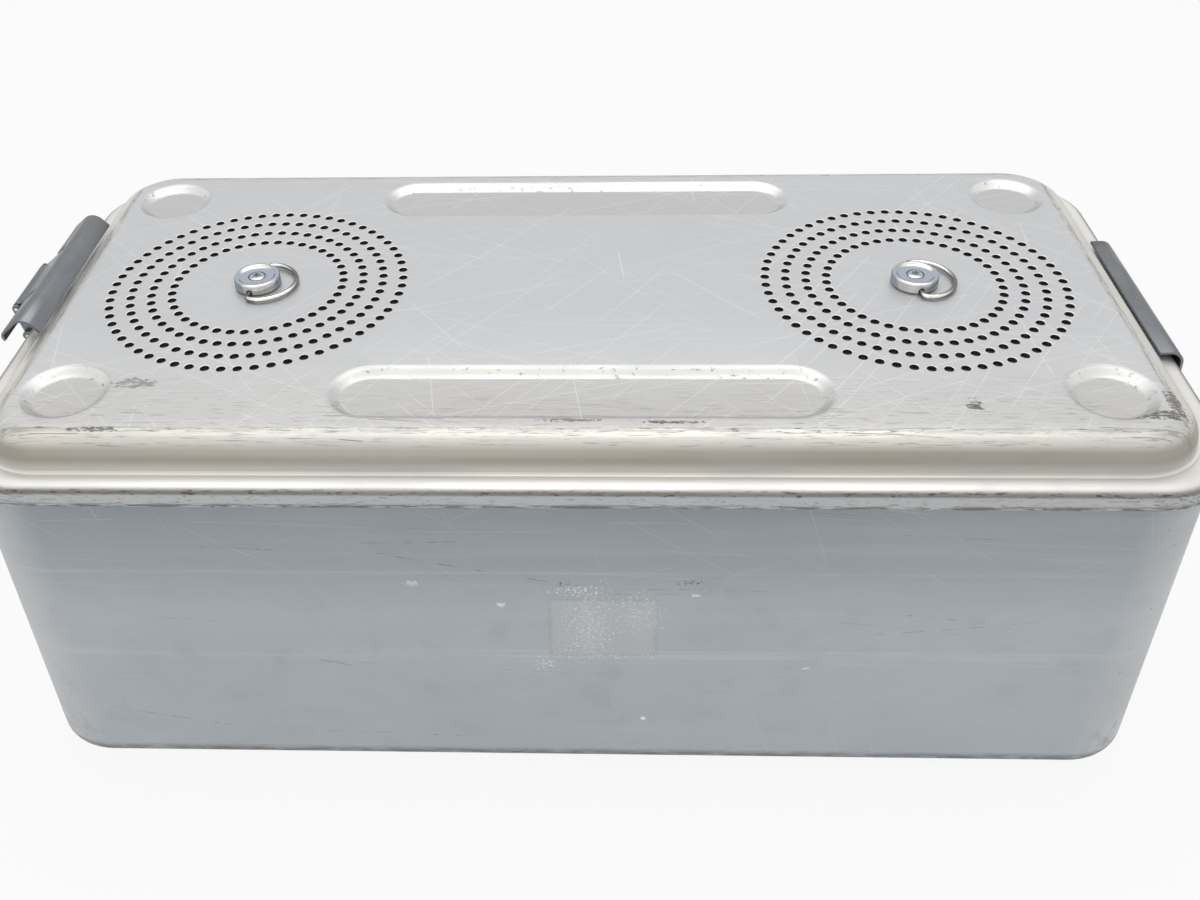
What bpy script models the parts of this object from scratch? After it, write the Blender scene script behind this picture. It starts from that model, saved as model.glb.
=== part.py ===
# Sterilization container: a pressed aluminium tub and lid with two perforated
# filter fields, turn knobs with bail rings, an end latch at each short side and
# a drop handle under each latch.
# Metres, +Z up. X runs along the container, -Y is its front long side, and the
# origin is on the floor under the middle.

import math

import bmesh
import bpy
from mathutils import Matrix, Vector

MM = 0.001
DEG = math.pi / 180

# Clearances between neighbours
GAP = 0.3 * MM              # between pieces that touch
OVERRUN = 2.0 * MM          # how far a cutter runs past what it cuts
MERGE = 0.01 * MM           # points this close are one

# Overall
TOTAL_HEIGHT = 211.5 * MM
CORNER_STEPS = 6

# Lid sheet and its outline
LID_LENGTH = 584.0 * MM
LID_WIDTH = 291.0 * MM
LID_CORNER = 40.5 * MM      # plan radius of the flange
LID_SHEET = 1.8 * MM
FLANGE_END = 11.8 * MM      # flange width at the short ends
FLANGE_SIDE = 10.3 * MM     # flange width along the long sides
DOME_CORNER = 35.0 * MM     # plan radius of the groove round the dome
DOME_HEIGHT = 16.2 * MM
DOME_EDGE = 14.2 * MM       # rounding of the dome's upper edge
DOME_FILLET = 1.6 * MM
SHOULDER = 3.0 * MM         # rounding between flange and skirt
SKIRT_HEIGHT = 10.5 * MM    # flange top to skirt's lower edge

# Tub
TUB_GAP_END = 4.5 * MM      # tub wall to the outside of the lid's skirt
TUB_GAP_SIDE = 5.0 * MM
TUB_SHEET = 2.0 * MM
TUB_DRAFT = 0.4 * MM
TUB_CORNER = 36.5 * MM
BASE_EDGE = 7.5 * MM        # rounding of the tub's lower edge
RIM_CLEARANCE = 0.6 * MM    # tub's rim to the inside of the lid's skirt

# Gasket under the lid's flange
GASKET_WIDTH = 6.5 * MM
GASKET_HEIGHT = 3.6 * MM

# Pressed hollows of the lid and feet of the tub, which stack in them
HOLLOW_DEPTH = 3.6 * MM
HOLLOW_SLOPE = 4.6 * MM     # how much narrower a hollow is at its floor
ROUND_HOLLOW_RADIUS = 20.5 * MM
ROUND_HOLLOW_FROM_END = 50.3 * MM    # its middle to the lid's end
HOLLOW_FROM_SIDE = 51.5 * MM         # all six hollows' middles to the lid's side
LONG_HOLLOW_FROM_END = 175.0 * MM    # its tip to the lid's end
LONG_HOLLOW_WIDTH = 39.4 * MM
ROUND_STEPS = 16
FOOT_HEIGHT = 3.0 * MM
FOOT_CLEARANCE = 2.2 * MM   # foot to the wall of the hollow it stacks in

# Perforated fields
VENT_FROM_END = 121.0 * MM           # a field's middle to the lid's end
VENT_RADIUS = 2.4 * MM
VENT_FIRST_RING = 44.6 * MM
VENT_RING_STEP = 10.53 * MM
VENTS_IN_FIRST_RING = 39
VENTS_MORE_PER_RING = 7
VENT_SIDES = 4
VENT_PHASES = {"left": (-3.2, -4.8, 0.9, -0.8), "right": (3.3, -2.9, -0.7, 1.0)}
STUD_RADIUS = 3.9 * MM
STUD_CLEARANCE = 0.4 * MM

# Filter, its seal and the retainer plate under each field
RETAINER_RADIUS = 91.6 * MM
RETAINER_SHEET = 1.2 * MM
SEAL_WIDTH = 5.5 * MM
SEAL_HEIGHT = 3.0 * MM
FILTER_THICKNESS = 0.8 * MM
STEAM_HOLE_RADIUS = 9.0 * MM
STEAM_HOLES = 10
STEAM_RING = 60.0 * MM
STEAM_HOLE_STEPS = 8
DISC_STEPS = 28

# Turn knob, its screw, seal and bayonet stud
KNOB_RADIUS = 11.9 * MM
KNOB_HEIGHT = 5.8 * MM
KNOB_LIFT = 0.4 * MM        # knob's underside to the lid
KNOB_CHAMFER = 0.8 * MM
KNOB_RIM = 2.0 * MM         # width of the raised rim round its top
KNOB_DISH = 1.2 * MM        # depth of the dish inside that rim
KNOB_SEAL_RADIUS = 5.7 * MM
KNOB_SEAL_HEIGHT = 1.0 * MM
KNOB_STEPS = 20
SCREW_HEAD_RADIUS = 4.2 * MM
SCREW_HEAD_HEIGHT = 1.5 * MM
SCREW_HEAD_RISE = 0.7 * MM  # head above the dish's floor
SCREW_RADIUS = 1.9 * MM
SCREW_STEPS = 12
STAR_RADIUS = 2.3 * MM
STAR_POINTS = 6
STAR_ROOT_SHARE = 0.6       # of the star's radius
STAR_DEPTH = 0.9 * MM
BAYONET_LENGTH = 20.0 * MM
BAYONET_WIDTH = 7.0 * MM
BAYONET_HEIGHT = 3.0 * MM
BAYONET_CLEARANCE = 1.0 * MM

# Bail ring through the knob
RING_WIRE = 2.5 * MM
RING_HALF_WIDTH = 17.6 * MM  # to the wire's centre line
RING_REACH = 20.4 * MM       # knob's middle to the wire's centre line
RING_CORNER = 3.0 * MM
RING_LEG_END = 6.4 * MM      # where its ends stop beside the screw
RING_HEIGHT = 1.85 * MM      # centre line above the lid
RING_ARC_STEPS = 12
RING_TURN = {"left": -10.0 * DEG, "right": 6.0 * DEG}

# End latch: a C-shaped bar that two links carry round the lid's flange.
# Its places are measured outwards from the skirt and down from the flange.
LATCH_Y = 8.7 * MM           # both latches sit a little behind the middle
BAR_LENGTH = 109.0 * MM
BAR_SHEET = 1.4 * MM
BAR_RADIUS = 6.2 * MM        # of the C's upper bend, to mid sheet
BAR_FLAP = 5.5 * MM          # flat upper flap beyond the bend
BAR_GAP = 0.6 * MM           # bar to skirt when it is shut
BAR_BEND_DROP = 2.4 * MM     # bend's centre below the flange
LIP_RADIUS = 3.2 * MM        # lower bend, to mid sheet
LIP_DROP = 10.5 * MM         # lower bend's centre below the flange
LIP_LENGTH = 0.2 * MM
LEG_WIDTH = 39.4 * MM
SLOT_WIDTH = 5.6 * MM        # room for a link and its lug
PIVOT_OUT = 3.0 * MM         # link pivot outside the skirt
PIVOT_DROP = 5.8 * MM        # link pivot below the flange
LINK_LENGTH = 15.5 * MM
LINK_WIDTH = 4.2 * MM
LINK_SHEET = 1.4 * MM
LINK_FROM_LEG = 0.7 * MM
LUG_WIDTH = 2.3 * MM
LUG_RADIUS = 2.6 * MM
PIN_RADIUS = 1.0 * MM
PIN_CLEARANCE = 0.3 * MM
KNUCKLE_RADIUS = 2.3 * MM
PIN_STEPS = 10
RAISED_SWING = 175.0 * DEG   # link swing from shut to raised
RAISED_TILT = 50.0 * DEG     # tilt of the bar when it is raised
SWING_AT_REST = {"left": RAISED_SWING, "right": 9.0 * DEG}

# Keeper under the latch, riveted to the tub
KEEPER_SHEET = 0.8 * MM
KEEPER_REACH = 3.0 * MM      # ledge, out of the tub wall
KEEPER_HEIGHT = 13.0 * MM
KEEPER_DROP = 0.5 * MM       # ledge below the skirt
LEDGE_THICKNESS = 1.5 * MM
KEEPER_RIVET_Y = 38.0 * MM
KEEPER_RIVET_DROP = 8.8 * MM

# Rivets
RIVET_RADIUS = 1.6 * MM
RIVET_HEAD_RADIUS = 3.0 * MM
RIVET_CROWN_SHARE = 0.5     # of the head's radius, flat on top
RIVET_HEAD = 1.0 * MM
RIVET_CLEARANCE = 0.3 * MM
RIVET_STEPS = 8

# Drop handle at each end
HANDLE_BELOW_SKIRT = 34.8 * MM
HANDLE_ROD = 6.0 * MM
HANDLE_HALF_WIDTH = 52.0 * MM
HANDLE_DROP = 46.0 * MM
HANDLE_BEND = 7.0 * MM
HANDLE_STUB = 11.0 * MM      # how far its ends run out past the arms
GRIP_RADIUS = 6.6 * MM
GRIP_LENGTH = 72.0 * MM
GRIP_STEPS = 14
GRIP_WAIST = 0.8 * MM        # how much thinner the grip is at its middle
GRIP_SWELL_SHARE = 0.92      # of its half length, where it is thickest
GRIP_WAIST_SHARE = 0.3
BRACKET_SHEET = 1.5 * MM
BRACKET_WIDTH = 20.0 * MM
BRACKET_HEIGHT = 26.0 * MM
EAR_THICKNESS = 2.4 * MM
EAR_HEIGHT = 12.0 * MM
EAR_BEYOND = 4.6 * MM        # ear past the rod's centre
HANDLE_RIVET_RISE = 9.0 * MM

# Places that follow from these
LID_TOP = TOTAL_HEIGHT
LID_X = LID_LENGTH / 2
LID_Y = LID_WIDTH / 2
FLANGE_TOP = LID_TOP - DOME_HEIGHT
SKIRT_BOTTOM = FLANGE_TOP - SKIRT_HEIGHT
LID_UNDERSIDE = LID_TOP - LID_SHEET
VENT_X = LID_X - VENT_FROM_END
ROUND_HOLLOW_X = LID_X - ROUND_HOLLOW_FROM_END
LONG_HOLLOW_X = LID_X - LONG_HOLLOW_FROM_END
HOLLOW_Y = LID_Y - HOLLOW_FROM_SIDE
HANDLE_PIVOT_Z = SKIRT_BOTTOM - HANDLE_BELOW_SKIRT
TUB_X = LID_X - TUB_GAP_END
TUB_Y = LID_Y - TUB_GAP_SIDE
RIM_TOP = FLANGE_TOP - LID_SHEET - GAP - GASKET_HEIGHT - GAP
BASE_BOTTOM = FOOT_HEIGHT
FILTER_TOP = LID_UNDERSIDE - GAP
SEAL_TOP = FILTER_TOP - FILTER_THICKNESS - GAP
PLATE_TOP = SEAL_TOP - SEAL_HEIGHT - GAP
PLATE_BOTTOM = PLATE_TOP - RETAINER_SHEET
BAYONET_TOP = PLATE_BOTTOM - GAP
SIDES = ("left", "right")


def clear_scene():
    """Start from an empty file."""
    for obj in list(bpy.data.objects):
        bpy.data.objects.remove(obj, do_unlink=True)


def new_collection(name):
    collection = bpy.data.collections.new(name)
    bpy.context.scene.collection.children.link(collection)
    return collection


def finish(name, colour, metallic, roughness):
    """A plain Principled material."""
    material = bpy.data.materials.new(name)
    material.use_nodes = True
    shader = material.node_tree.nodes["Principled BSDF"]
    shader.inputs["Base Color"].default_value = (*colour, 1.0)
    shader.inputs["Metallic"].default_value = metallic
    shader.inputs["Roughness"].default_value = roughness
    return material


clear_scene()
PARTS = new_collection("sterilization_container")
CUTTERS = new_collection("cutters")

# Finishes
LID_METAL = finish("lid_aluminium", (0.60, 0.60, 0.59), 0.85, 0.38)
TUB_METAL = finish("tub_anodised", (0.30, 0.33, 0.36), 0.75, 0.48)
LATCH_METAL = finish("latch_steel", (0.20, 0.21, 0.23), 0.9, 0.42)
KNOB_METAL = finish("knob_steel", (0.62, 0.62, 0.62), 1.0, 0.2)
PLATE_METAL = finish("plate_steel", (0.50, 0.50, 0.50), 0.95, 0.3)
SEAL_RUBBER = finish("seal_silicone", (0.45, 0.16, 0.10), 0.0, 0.6)
FILTER_CLOTH = finish("filter_cloth", (0.05, 0.05, 0.05), 0.0, 0.9)
GRIP_PLASTIC = finish("grip_plastic", (0.05, 0.05, 0.055), 0.0, 0.45)


def place(name, mesh, material=None, parent=None, location=(0, 0, 0), turn=(0, 0, 0)):
    """Put a mesh in the model as a named part."""
    obj = bpy.data.objects.new(name, mesh)
    PARTS.objects.link(obj)
    if material:
        mesh.materials.append(material)
    obj.parent = parent
    obj.location = location
    obj.rotation_euler = turn
    return obj


def empty(name, location, parent=None, turn=(0, 0, 0)):
    """A parent empty, for a joint or for one end of the container."""
    return place(name, None, None, parent, location, turn)


def cutter(name, bm, parent=None):
    """Put a closed mesh among the cutters."""
    mesh = bpy.data.meshes.new(name)
    bmesh.ops.recalc_face_normals(bm, faces=bm.faces)
    bm.to_mesh(mesh)
    bm.free()
    obj = bpy.data.objects.new(name, mesh)
    CUTTERS.objects.link(obj)
    obj.hide_render = True
    obj.display_type = "WIRE"
    obj.parent = parent
    return obj


def combine(obj, other, operation):
    """Boolean with the exact solver."""
    modifier = obj.modifiers.new(operation.lower(), "BOOLEAN")
    modifier.operation = operation
    modifier.object = other
    return modifier


def solidify(obj, thickness, offset):
    modifier = obj.modifiers.new("sheet", "SOLIDIFY")
    modifier.thickness = thickness
    modifier.offset = offset
    modifier.use_even_offset = True
    return modifier


def smooth(mesh, angle=35.0 * DEG):
    mesh.shade_smooth()
    mesh.set_sharp_from_angle(angle=angle)


def to_mesh(name, bm, turn_out=True):
    """Turn a bmesh into a mesh; a closed one has its faces turned out."""
    mesh = bpy.data.meshes.new(name)
    if turn_out:
        bmesh.ops.recalc_face_normals(bm, faces=bm.faces)
    bm.to_mesh(mesh)
    bm.free()
    smooth(mesh)
    return mesh


def rounded_rectangle(half_x, half_y, radius, z):
    """Outline of a rounded rectangle, anticlockwise from above."""
    points = []
    corners = ((1, 1), (-1, 1), (-1, -1), (1, -1))
    for quarter, (sx, sy) in enumerate(corners):
        centre = Vector((sx * (half_x - radius), sy * (half_y - radius), z))
        for step in range(CORNER_STEPS + 1):
            angle = (quarter + step / CORNER_STEPS) * math.pi / 2
            points.append(centre + radius * Vector((math.cos(angle), math.sin(angle), 0)))
    return points


def stadium(half_length, radius, z):
    """Outline of a slot with round ends along X, or of a circle."""
    points = []
    for step in range(ROUND_STEPS):
        angle = 2 * math.pi * (step + 0.5) / ROUND_STEPS
        shift = math.copysign(half_length, math.cos(angle))
        points.append(Vector((shift + radius * math.cos(angle), radius * math.sin(angle), z)))
    return points


def bend(centre, radius, start, end, steps):
    """Points on an arc in a plane, as pairs."""
    points = []
    for step in range(steps + 1):
        angle = start + (end - start) * step / steps
        points.append((centre[0] + radius * math.cos(angle), centre[1] + radius * math.sin(angle)))
    return points


def loft(bm, outlines, close_first=True, close_last=True):
    """Skin a stack of unlike outlines, lowest first, closed at one or both ends."""
    rows = [[bm.verts.new(point) for point in outline] for outline in outlines]
    for low, high in zip(rows, rows[1:]):
        for index in range(len(low)):
            following = (index + 1) % len(low)
            bm.faces.new((low[index], low[following], high[following], high[index]))
    if close_first:
        bm.faces.new(reversed(rows[0]))
    if close_last:
        bm.faces.new(rows[-1])


def box(bm, low, high):
    """Add a box between two corners."""
    low, high = Vector(low), Vector(high)
    made = bmesh.ops.create_cube(bm, size=1.0)
    size = Matrix.Diagonal((*(high - low), 1.0))
    move = Matrix.Translation((low + high) / 2)
    bmesh.ops.transform(bm, matrix=move @ size, verts=made["verts"])


def cylinder(bm, radius, steps, start, end):
    """Add a closed cylinder between two points."""
    start, end = Vector(start), Vector(end)
    along = end - start
    turn = along.to_track_quat("Z", "Y").to_matrix().to_4x4()
    made = bmesh.ops.create_cone(bm, cap_ends=True, segments=steps, radius1=radius,
                                 radius2=radius, depth=along.length)
    move = Matrix.Translation((start + end) / 2)
    bmesh.ops.transform(bm, matrix=move @ turn, verts=made["verts"])


def turned(name, profile, steps, material, parent=None, ring=False, location=(0, 0, 0), turn=(0, 0, 0)):
    """Turn a profile of (radius, height), given down its outer side, about Z."""
    mesh = bpy.data.meshes.new(name)
    edges = [(index, index + 1) for index in range(len(profile) - 1)]
    if ring:
        edges.append((len(profile) - 1, 0))
    mesh.from_pydata([(radius, 0, height) for radius, height in profile], edges, [])
    obj = place(name, mesh, material, parent, location, turn)
    screw = obj.modifiers.new("turn", "SCREW")
    screw.axis = "Z"
    screw.steps = steps
    screw.render_steps = steps
    screw.use_merge_vertices = True
    screw.merge_threshold = MERGE
    screw.use_smooth_shade = True
    return obj


def curve_mesh(name, curve):
    """A curve as a closed mesh, with its caps welded."""
    holder = bpy.data.objects.new(name + "_path", curve)
    PARTS.objects.link(holder)
    graph = bpy.context.evaluated_depsgraph_get()
    mesh = bpy.data.meshes.new_from_object(holder.evaluated_get(graph))
    bpy.data.objects.remove(holder, do_unlink=True)
    bm = bmesh.new()
    bm.from_mesh(mesh)
    bpy.data.meshes.remove(mesh)
    bmesh.ops.remove_doubles(bm, verts=bm.verts, dist=MERGE)
    return to_mesh(name, bm)


def wire(name, points, radius):
    """A round wire along open points."""
    curve = bpy.data.curves.new(name, "CURVE")
    curve.dimensions = "3D"
    curve.bevel_depth = radius
    curve.bevel_resolution = 2
    curve.use_fill_caps = True
    spline = curve.splines.new("POLY")
    spline.points.add(len(points) - 1)
    for point, place_at in zip(spline.points, points):
        point.co = (*place_at, 1.0)
    return curve_mesh(name, curve)


def flat(name, outlines, thickness):
    """A flat plate from its outline and any holes, centred on its mid plane."""
    curve = bpy.data.curves.new(name, "CURVE")
    curve.dimensions = "2D"
    curve.fill_mode = "BOTH"
    curve.extrude = thickness / 2
    for outline in outlines:
        spline = curve.splines.new("POLY")
        spline.use_cyclic_u = True
        spline.points.add(len(outline) - 1)
        for point, place_at in zip(spline.points, outline):
            point.co = (place_at[0], place_at[1], 0, 1)
    return curve_mesh(name, curve)


def circle(centre, radius, steps):
    return bend(centre, radius, 0, 2 * math.pi, steps)[:-1]


def rows_of(side):
    """The front and rear of an end, as signs along its own Y."""
    front = -1 if side == "right" else 1
    return (("front", front), ("rear", -front))


def pressed_hollow(blank, recess, x, y, half_length, radius, depth, top, sheet):
    """Press a hollow down into a sheet: its blank below, its recess above."""
    place_at = Vector((x, y, 0))
    wall = sheet * math.hypot(HOLLOW_SLOPE, depth) / depth
    floor_radius = radius - HOLLOW_SLOPE
    over = OVERRUN * HOLLOW_SLOPE / depth
    for bm, outlines in (
        (blank, ((radius + wall / 2, top - sheet / 2), (floor_radius + sheet / 2, top - depth - sheet))),
        (recess, ((radius + over, top + OVERRUN), (floor_radius, top - depth))),
    ):
        loft(bm, [[point + place_at for point in stadium(half_length, size, z)] for size, z in outlines])


def lid_dome(outset, z):
    """Outline of the lid's dome, set out from its upright wall."""
    inset = DOME_FILLET - outset
    return rounded_rectangle(LID_X - FLANGE_END - inset, LID_Y - FLANGE_SIDE - inset, DOME_CORNER - inset, z)


def lid_edge(inset, z):
    """Outline of the lid's skirt, set in from its outer face."""
    return rounded_rectangle(LID_X - inset, LID_Y - inset, LID_CORNER - inset, z)


def make_lid():
    """Domed lid with its skirt, six pressed hollows and two vent fields."""
    quarter = [index * math.pi / 8 for index in range(5)]
    slant = 1 - math.sin(math.pi / 4)
    rows = [lid_dome(DOME_EDGE * (math.sin(a) - 1), LID_TOP - DOME_EDGE * (1 - math.cos(a))) for a in quarter]
    rows.append(lid_dome(0, FLANGE_TOP + DOME_FILLET))
    rows.append(lid_dome(DOME_FILLET * slant, FLANGE_TOP + DOME_FILLET * slant))
    rows.append(lid_dome(DOME_FILLET, FLANGE_TOP))
    rows.append(lid_edge(SHOULDER, FLANGE_TOP))
    rows.append(lid_edge(SHOULDER * slant, FLANGE_TOP - SHOULDER * slant))
    rows.append(lid_edge(0, FLANGE_TOP - SHOULDER))
    rows.append(lid_edge(0, SKIRT_BOTTOM))
    bm = bmesh.new()
    loft(bm, rows[::-1], close_first=False)
    lid = place("lid", to_mesh("lid", bm, turn_out=False), LID_METAL)
    solidify(lid, LID_SHEET, -1)

    blank, recess = bmesh.new(), bmesh.new()
    long_half = LONG_HOLLOW_X - LONG_HOLLOW_WIDTH / 2
    for y in (-HOLLOW_Y, HOLLOW_Y):
        spots = [(0, long_half, LONG_HOLLOW_WIDTH / 2)]
        spots += [(x, 0, ROUND_HOLLOW_RADIUS) for x in (-ROUND_HOLLOW_X, ROUND_HOLLOW_X)]
        for x, half_length, radius in spots:
            pressed_hollow(blank, recess, x, y, half_length, radius, HOLLOW_DEPTH, LID_TOP, LID_SHEET)
    top, bottom = LID_TOP + OVERRUN, LID_UNDERSIDE - OVERRUN
    for side, sign in zip(SIDES, (-1, 1)):
        middle = sign * VENT_X
        for ring, phase in enumerate(VENT_PHASES[side]):
            count = VENTS_IN_FIRST_RING + VENTS_MORE_PER_RING * ring
            reach = VENT_FIRST_RING + VENT_RING_STEP * ring
            for index in range(count):
                angle = phase * DEG + 2 * math.pi * index / count
                x, y = middle + reach * math.cos(angle), reach * math.sin(angle)
                cylinder(recess, VENT_RADIUS, VENT_SIDES, (x, y, bottom), (x, y, top))
        cylinder(recess, STUD_RADIUS + STUD_CLEARANCE, PIN_STEPS, (middle, 0, bottom), (middle, 0, top))
    combine(lid, cutter("lid_blanks", blank), "UNION")
    combine(lid, cutter("lid_openings", recess), "DIFFERENCE")


def make_gasket():
    """Silicone frame between the lid's flange and the tub's rim."""
    inset = SHOULDER + GAP
    z = FLANGE_TOP - LID_SHEET - GAP - GASKET_HEIGHT / 2
    outlines = [lid_edge(inset, 0), lid_edge(inset + GASKET_WIDTH, 0)]
    place("lid_gasket", flat("lid_gasket", outlines, GASKET_HEIGHT), SEAL_RUBBER, location=(0, 0, z))


def tub_face(z):
    """Distance of the tub's end wall from the middle at a height."""
    return TUB_X - TUB_DRAFT * (RIM_TOP - z) / RIM_TOP


def make_tub():
    """Deep drawn tub with an outward rim, four pressed feet and rivet holes."""
    def wall(outset, z):
        draft = TUB_X - tub_face(z) - outset
        return rounded_rectangle(TUB_X - draft, TUB_Y - draft, TUB_CORNER - draft, z)

    quarter = [index * math.pi / 8 for index in range(5)]
    rows = [wall(BASE_EDGE * (math.sin(a) - 1), BASE_BOTTOM + BASE_EDGE * (1 - math.cos(a))) for a in quarter]
    rows.append(wall(0, RIM_TOP - TUB_SHEET))
    rows.append(lid_edge(LID_SHEET + RIM_CLEARANCE, RIM_TOP - TUB_SHEET))
    bm = bmesh.new()
    loft(bm, rows, close_last=False)
    tub = place("tub", to_mesh("tub", bm, turn_out=False), TUB_METAL)
    solidify(tub, TUB_SHEET, -1)
    blank, recess = bmesh.new(), bmesh.new()
    foot_radius = ROUND_HOLLOW_RADIUS - FOOT_CLEARANCE
    floor = BASE_BOTTOM + TUB_SHEET
    for x in (-ROUND_HOLLOW_X, ROUND_HOLLOW_X):
        for y in (-HOLLOW_Y, HOLLOW_Y):
            pressed_hollow(blank, recess, x, y, 0, foot_radius, FOOT_HEIGHT, floor, TUB_SHEET)
    for sign in (-1, 1):
        for y, z in keeper_rivets(sign) + handle_rivets():
            cylinder(recess, RIVET_RADIUS + RIVET_CLEARANCE, RIVET_STEPS,
                     (sign * (tub_face(z) - TUB_SHEET - OVERRUN), sign * y, z),
                     (sign * (tub_face(z) + OVERRUN), sign * y, z))
    combine(tub, cutter("tub_blanks", blank), "UNION")
    combine(tub, cutter("tub_openings", recess), "DIFFERENCE")


def keeper_rivets(sign):
    """Rivet places on a keeper, in the frame of its own end."""
    z = SKIRT_BOTTOM - KEEPER_DROP - KEEPER_RIVET_DROP
    return [(sign * LATCH_Y + way * KEEPER_RIVET_Y, z) for way in (-1, 1)]


# Handle places across its end: ear's inner face and middle of the bracket
EAR_INNER = HANDLE_HALF_WIDTH + HANDLE_STUB - EAR_THICKNESS - GAP
BRACKET_MIDDLE = EAR_INNER + BRACKET_WIDTH / 2


def handle_rivets():
    """Rivet places on the two brackets of a handle."""
    return [(way * BRACKET_MIDDLE, HANDLE_PIVOT_Z + rise) for way in (-1, 1)
            for rise in (-HANDLE_RIVET_RISE, HANDLE_RIVET_RISE)]


def make_rivet(name, y, z, seat, parent):
    """A rivet along X through a fitting and the tub wall, with two heads."""
    inside = tub_face(z) - TUB_SHEET - GAP
    outside = seat + GAP
    crown = RIVET_HEAD_RADIUS * RIVET_CROWN_SHARE
    profile = (
        (0, outside + RIVET_HEAD), (crown, outside + RIVET_HEAD), (RIVET_HEAD_RADIUS, outside),
        (RIVET_RADIUS, outside), (RIVET_RADIUS, inside), (RIVET_HEAD_RADIUS, inside),
        (crown, inside - RIVET_HEAD), (0, inside - RIVET_HEAD),
    )
    turned(name, profile, RIVET_STEPS, KNOB_METAL, parent, location=(0, y, z), turn=(0, math.pi / 2, 0))


def make_filter_set(side, x):
    """Filter sheet, its seal and the retainer plate under one vent field."""
    centre = empty("filter_axis_" + side, (x, 0, 0))
    hole = STUD_RADIUS + STUD_CLEARANCE
    seal_outer = RETAINER_RADIUS - RETAINER_SHEET - GAP
    seal_inner = seal_outer - SEAL_WIDTH
    filter_bottom = FILTER_TOP - FILTER_THICKNESS
    turned("filter_" + side,
           ((hole, FILTER_TOP), (seal_outer, FILTER_TOP), (seal_outer, filter_bottom), (hole, filter_bottom)),
           DISC_STEPS, FILTER_CLOTH, centre, ring=True)
    seal_bottom = SEAL_TOP - SEAL_HEIGHT
    turned("filter_seal_" + side,
           ((seal_inner, SEAL_TOP), (seal_outer, SEAL_TOP),
            (seal_outer, seal_bottom), (seal_inner, seal_bottom)),
           DISC_STEPS, SEAL_RUBBER, centre, ring=True)
    rim = RETAINER_RADIUS - RETAINER_SHEET
    plate = turned("retainer_" + side,
                   ((0, PLATE_TOP), (rim, PLATE_TOP), (rim, SEAL_TOP), (RETAINER_RADIUS, SEAL_TOP),
                    (RETAINER_RADIUS, PLATE_BOTTOM), (0, PLATE_BOTTOM)),
                   DISC_STEPS, PLATE_METAL, centre)
    bm = bmesh.new()
    low, high = PLATE_BOTTOM - OVERRUN, PLATE_TOP + OVERRUN
    for x, y in circle((0, 0), STEAM_RING, STEAM_HOLES):
        cylinder(bm, STEAM_HOLE_RADIUS, STEAM_HOLE_STEPS, (x, y, low), (x, y, high))
    slot_x = BAYONET_WIDTH / 2 + BAYONET_CLEARANCE
    slot_y = BAYONET_LENGTH / 2 + BAYONET_CLEARANCE
    box(bm, (-slot_x, -slot_y, low), (slot_x, slot_y, high))
    combine(plate, cutter("retainer_openings_" + side, bm, centre), "DIFFERENCE")


# Knob places along its axis, from the lid's top
KNOB_TOP = KNOB_LIFT + KNOB_HEIGHT
KNOB_DISH_FLOOR = KNOB_TOP - KNOB_DISH
SCREW_HEAD_TOP = KNOB_DISH_FLOOR + SCREW_HEAD_RISE
SCREW_SEAT = SCREW_HEAD_TOP - SCREW_HEAD_HEIGHT - GAP
SEAL_WELL = KNOB_LIFT + KNOB_SEAL_HEIGHT
SCREW_BORE = SCREW_RADIUS + STUD_CLEARANCE
BAR_TOP = BAYONET_TOP - LID_TOP
BAR_BOTTOM = BAR_TOP - BAYONET_HEIGHT


def make_knob(side, axis):
    """Turn knob with a dished top and two notches for its ring."""
    well = SCREW_HEAD_RADIUS + STUD_CLEARANCE
    dish = KNOB_RADIUS - KNOB_RIM
    seal_edge = KNOB_SEAL_RADIUS + GAP
    profile = (
        (SCREW_BORE, SCREW_SEAT), (well, SCREW_SEAT), (well, KNOB_DISH_FLOOR),
        (dish - KNOB_DISH, KNOB_DISH_FLOOR), (dish, KNOB_TOP),
        (KNOB_RADIUS - KNOB_CHAMFER, KNOB_TOP), (KNOB_RADIUS, KNOB_TOP - KNOB_CHAMFER),
        (KNOB_RADIUS, KNOB_LIFT), (seal_edge, KNOB_LIFT), (seal_edge, SEAL_WELL), (SCREW_BORE, SEAL_WELL),
    )
    knob = turned("lock_knob_" + side, profile, KNOB_STEPS, KNOB_METAL, axis, ring=True)
    bm = bmesh.new()
    for way in (-1, 1):
        cylinder(bm, RING_WIRE / 2 + PIN_CLEARANCE, PIN_STEPS, (0, way * (RING_LEG_END - GAP), RING_HEIGHT),
                 (0, way * (KNOB_RADIUS + OVERRUN), RING_HEIGHT))
    combine(knob, cutter("knob_notches_" + side, bm, axis), "DIFFERENCE")


def make_knob_seal(side, axis):
    """Thin silicone washer round the stud, in the knob's underside."""
    inner = STUD_RADIUS + GAP
    top = SEAL_WELL - GAP
    profile = ((inner, top), (KNOB_SEAL_RADIUS, top), (KNOB_SEAL_RADIUS, GAP), (inner, GAP))
    turned("knob_seal_" + side, profile, KNOB_STEPS, SEAL_RUBBER, axis, ring=True)


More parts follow.
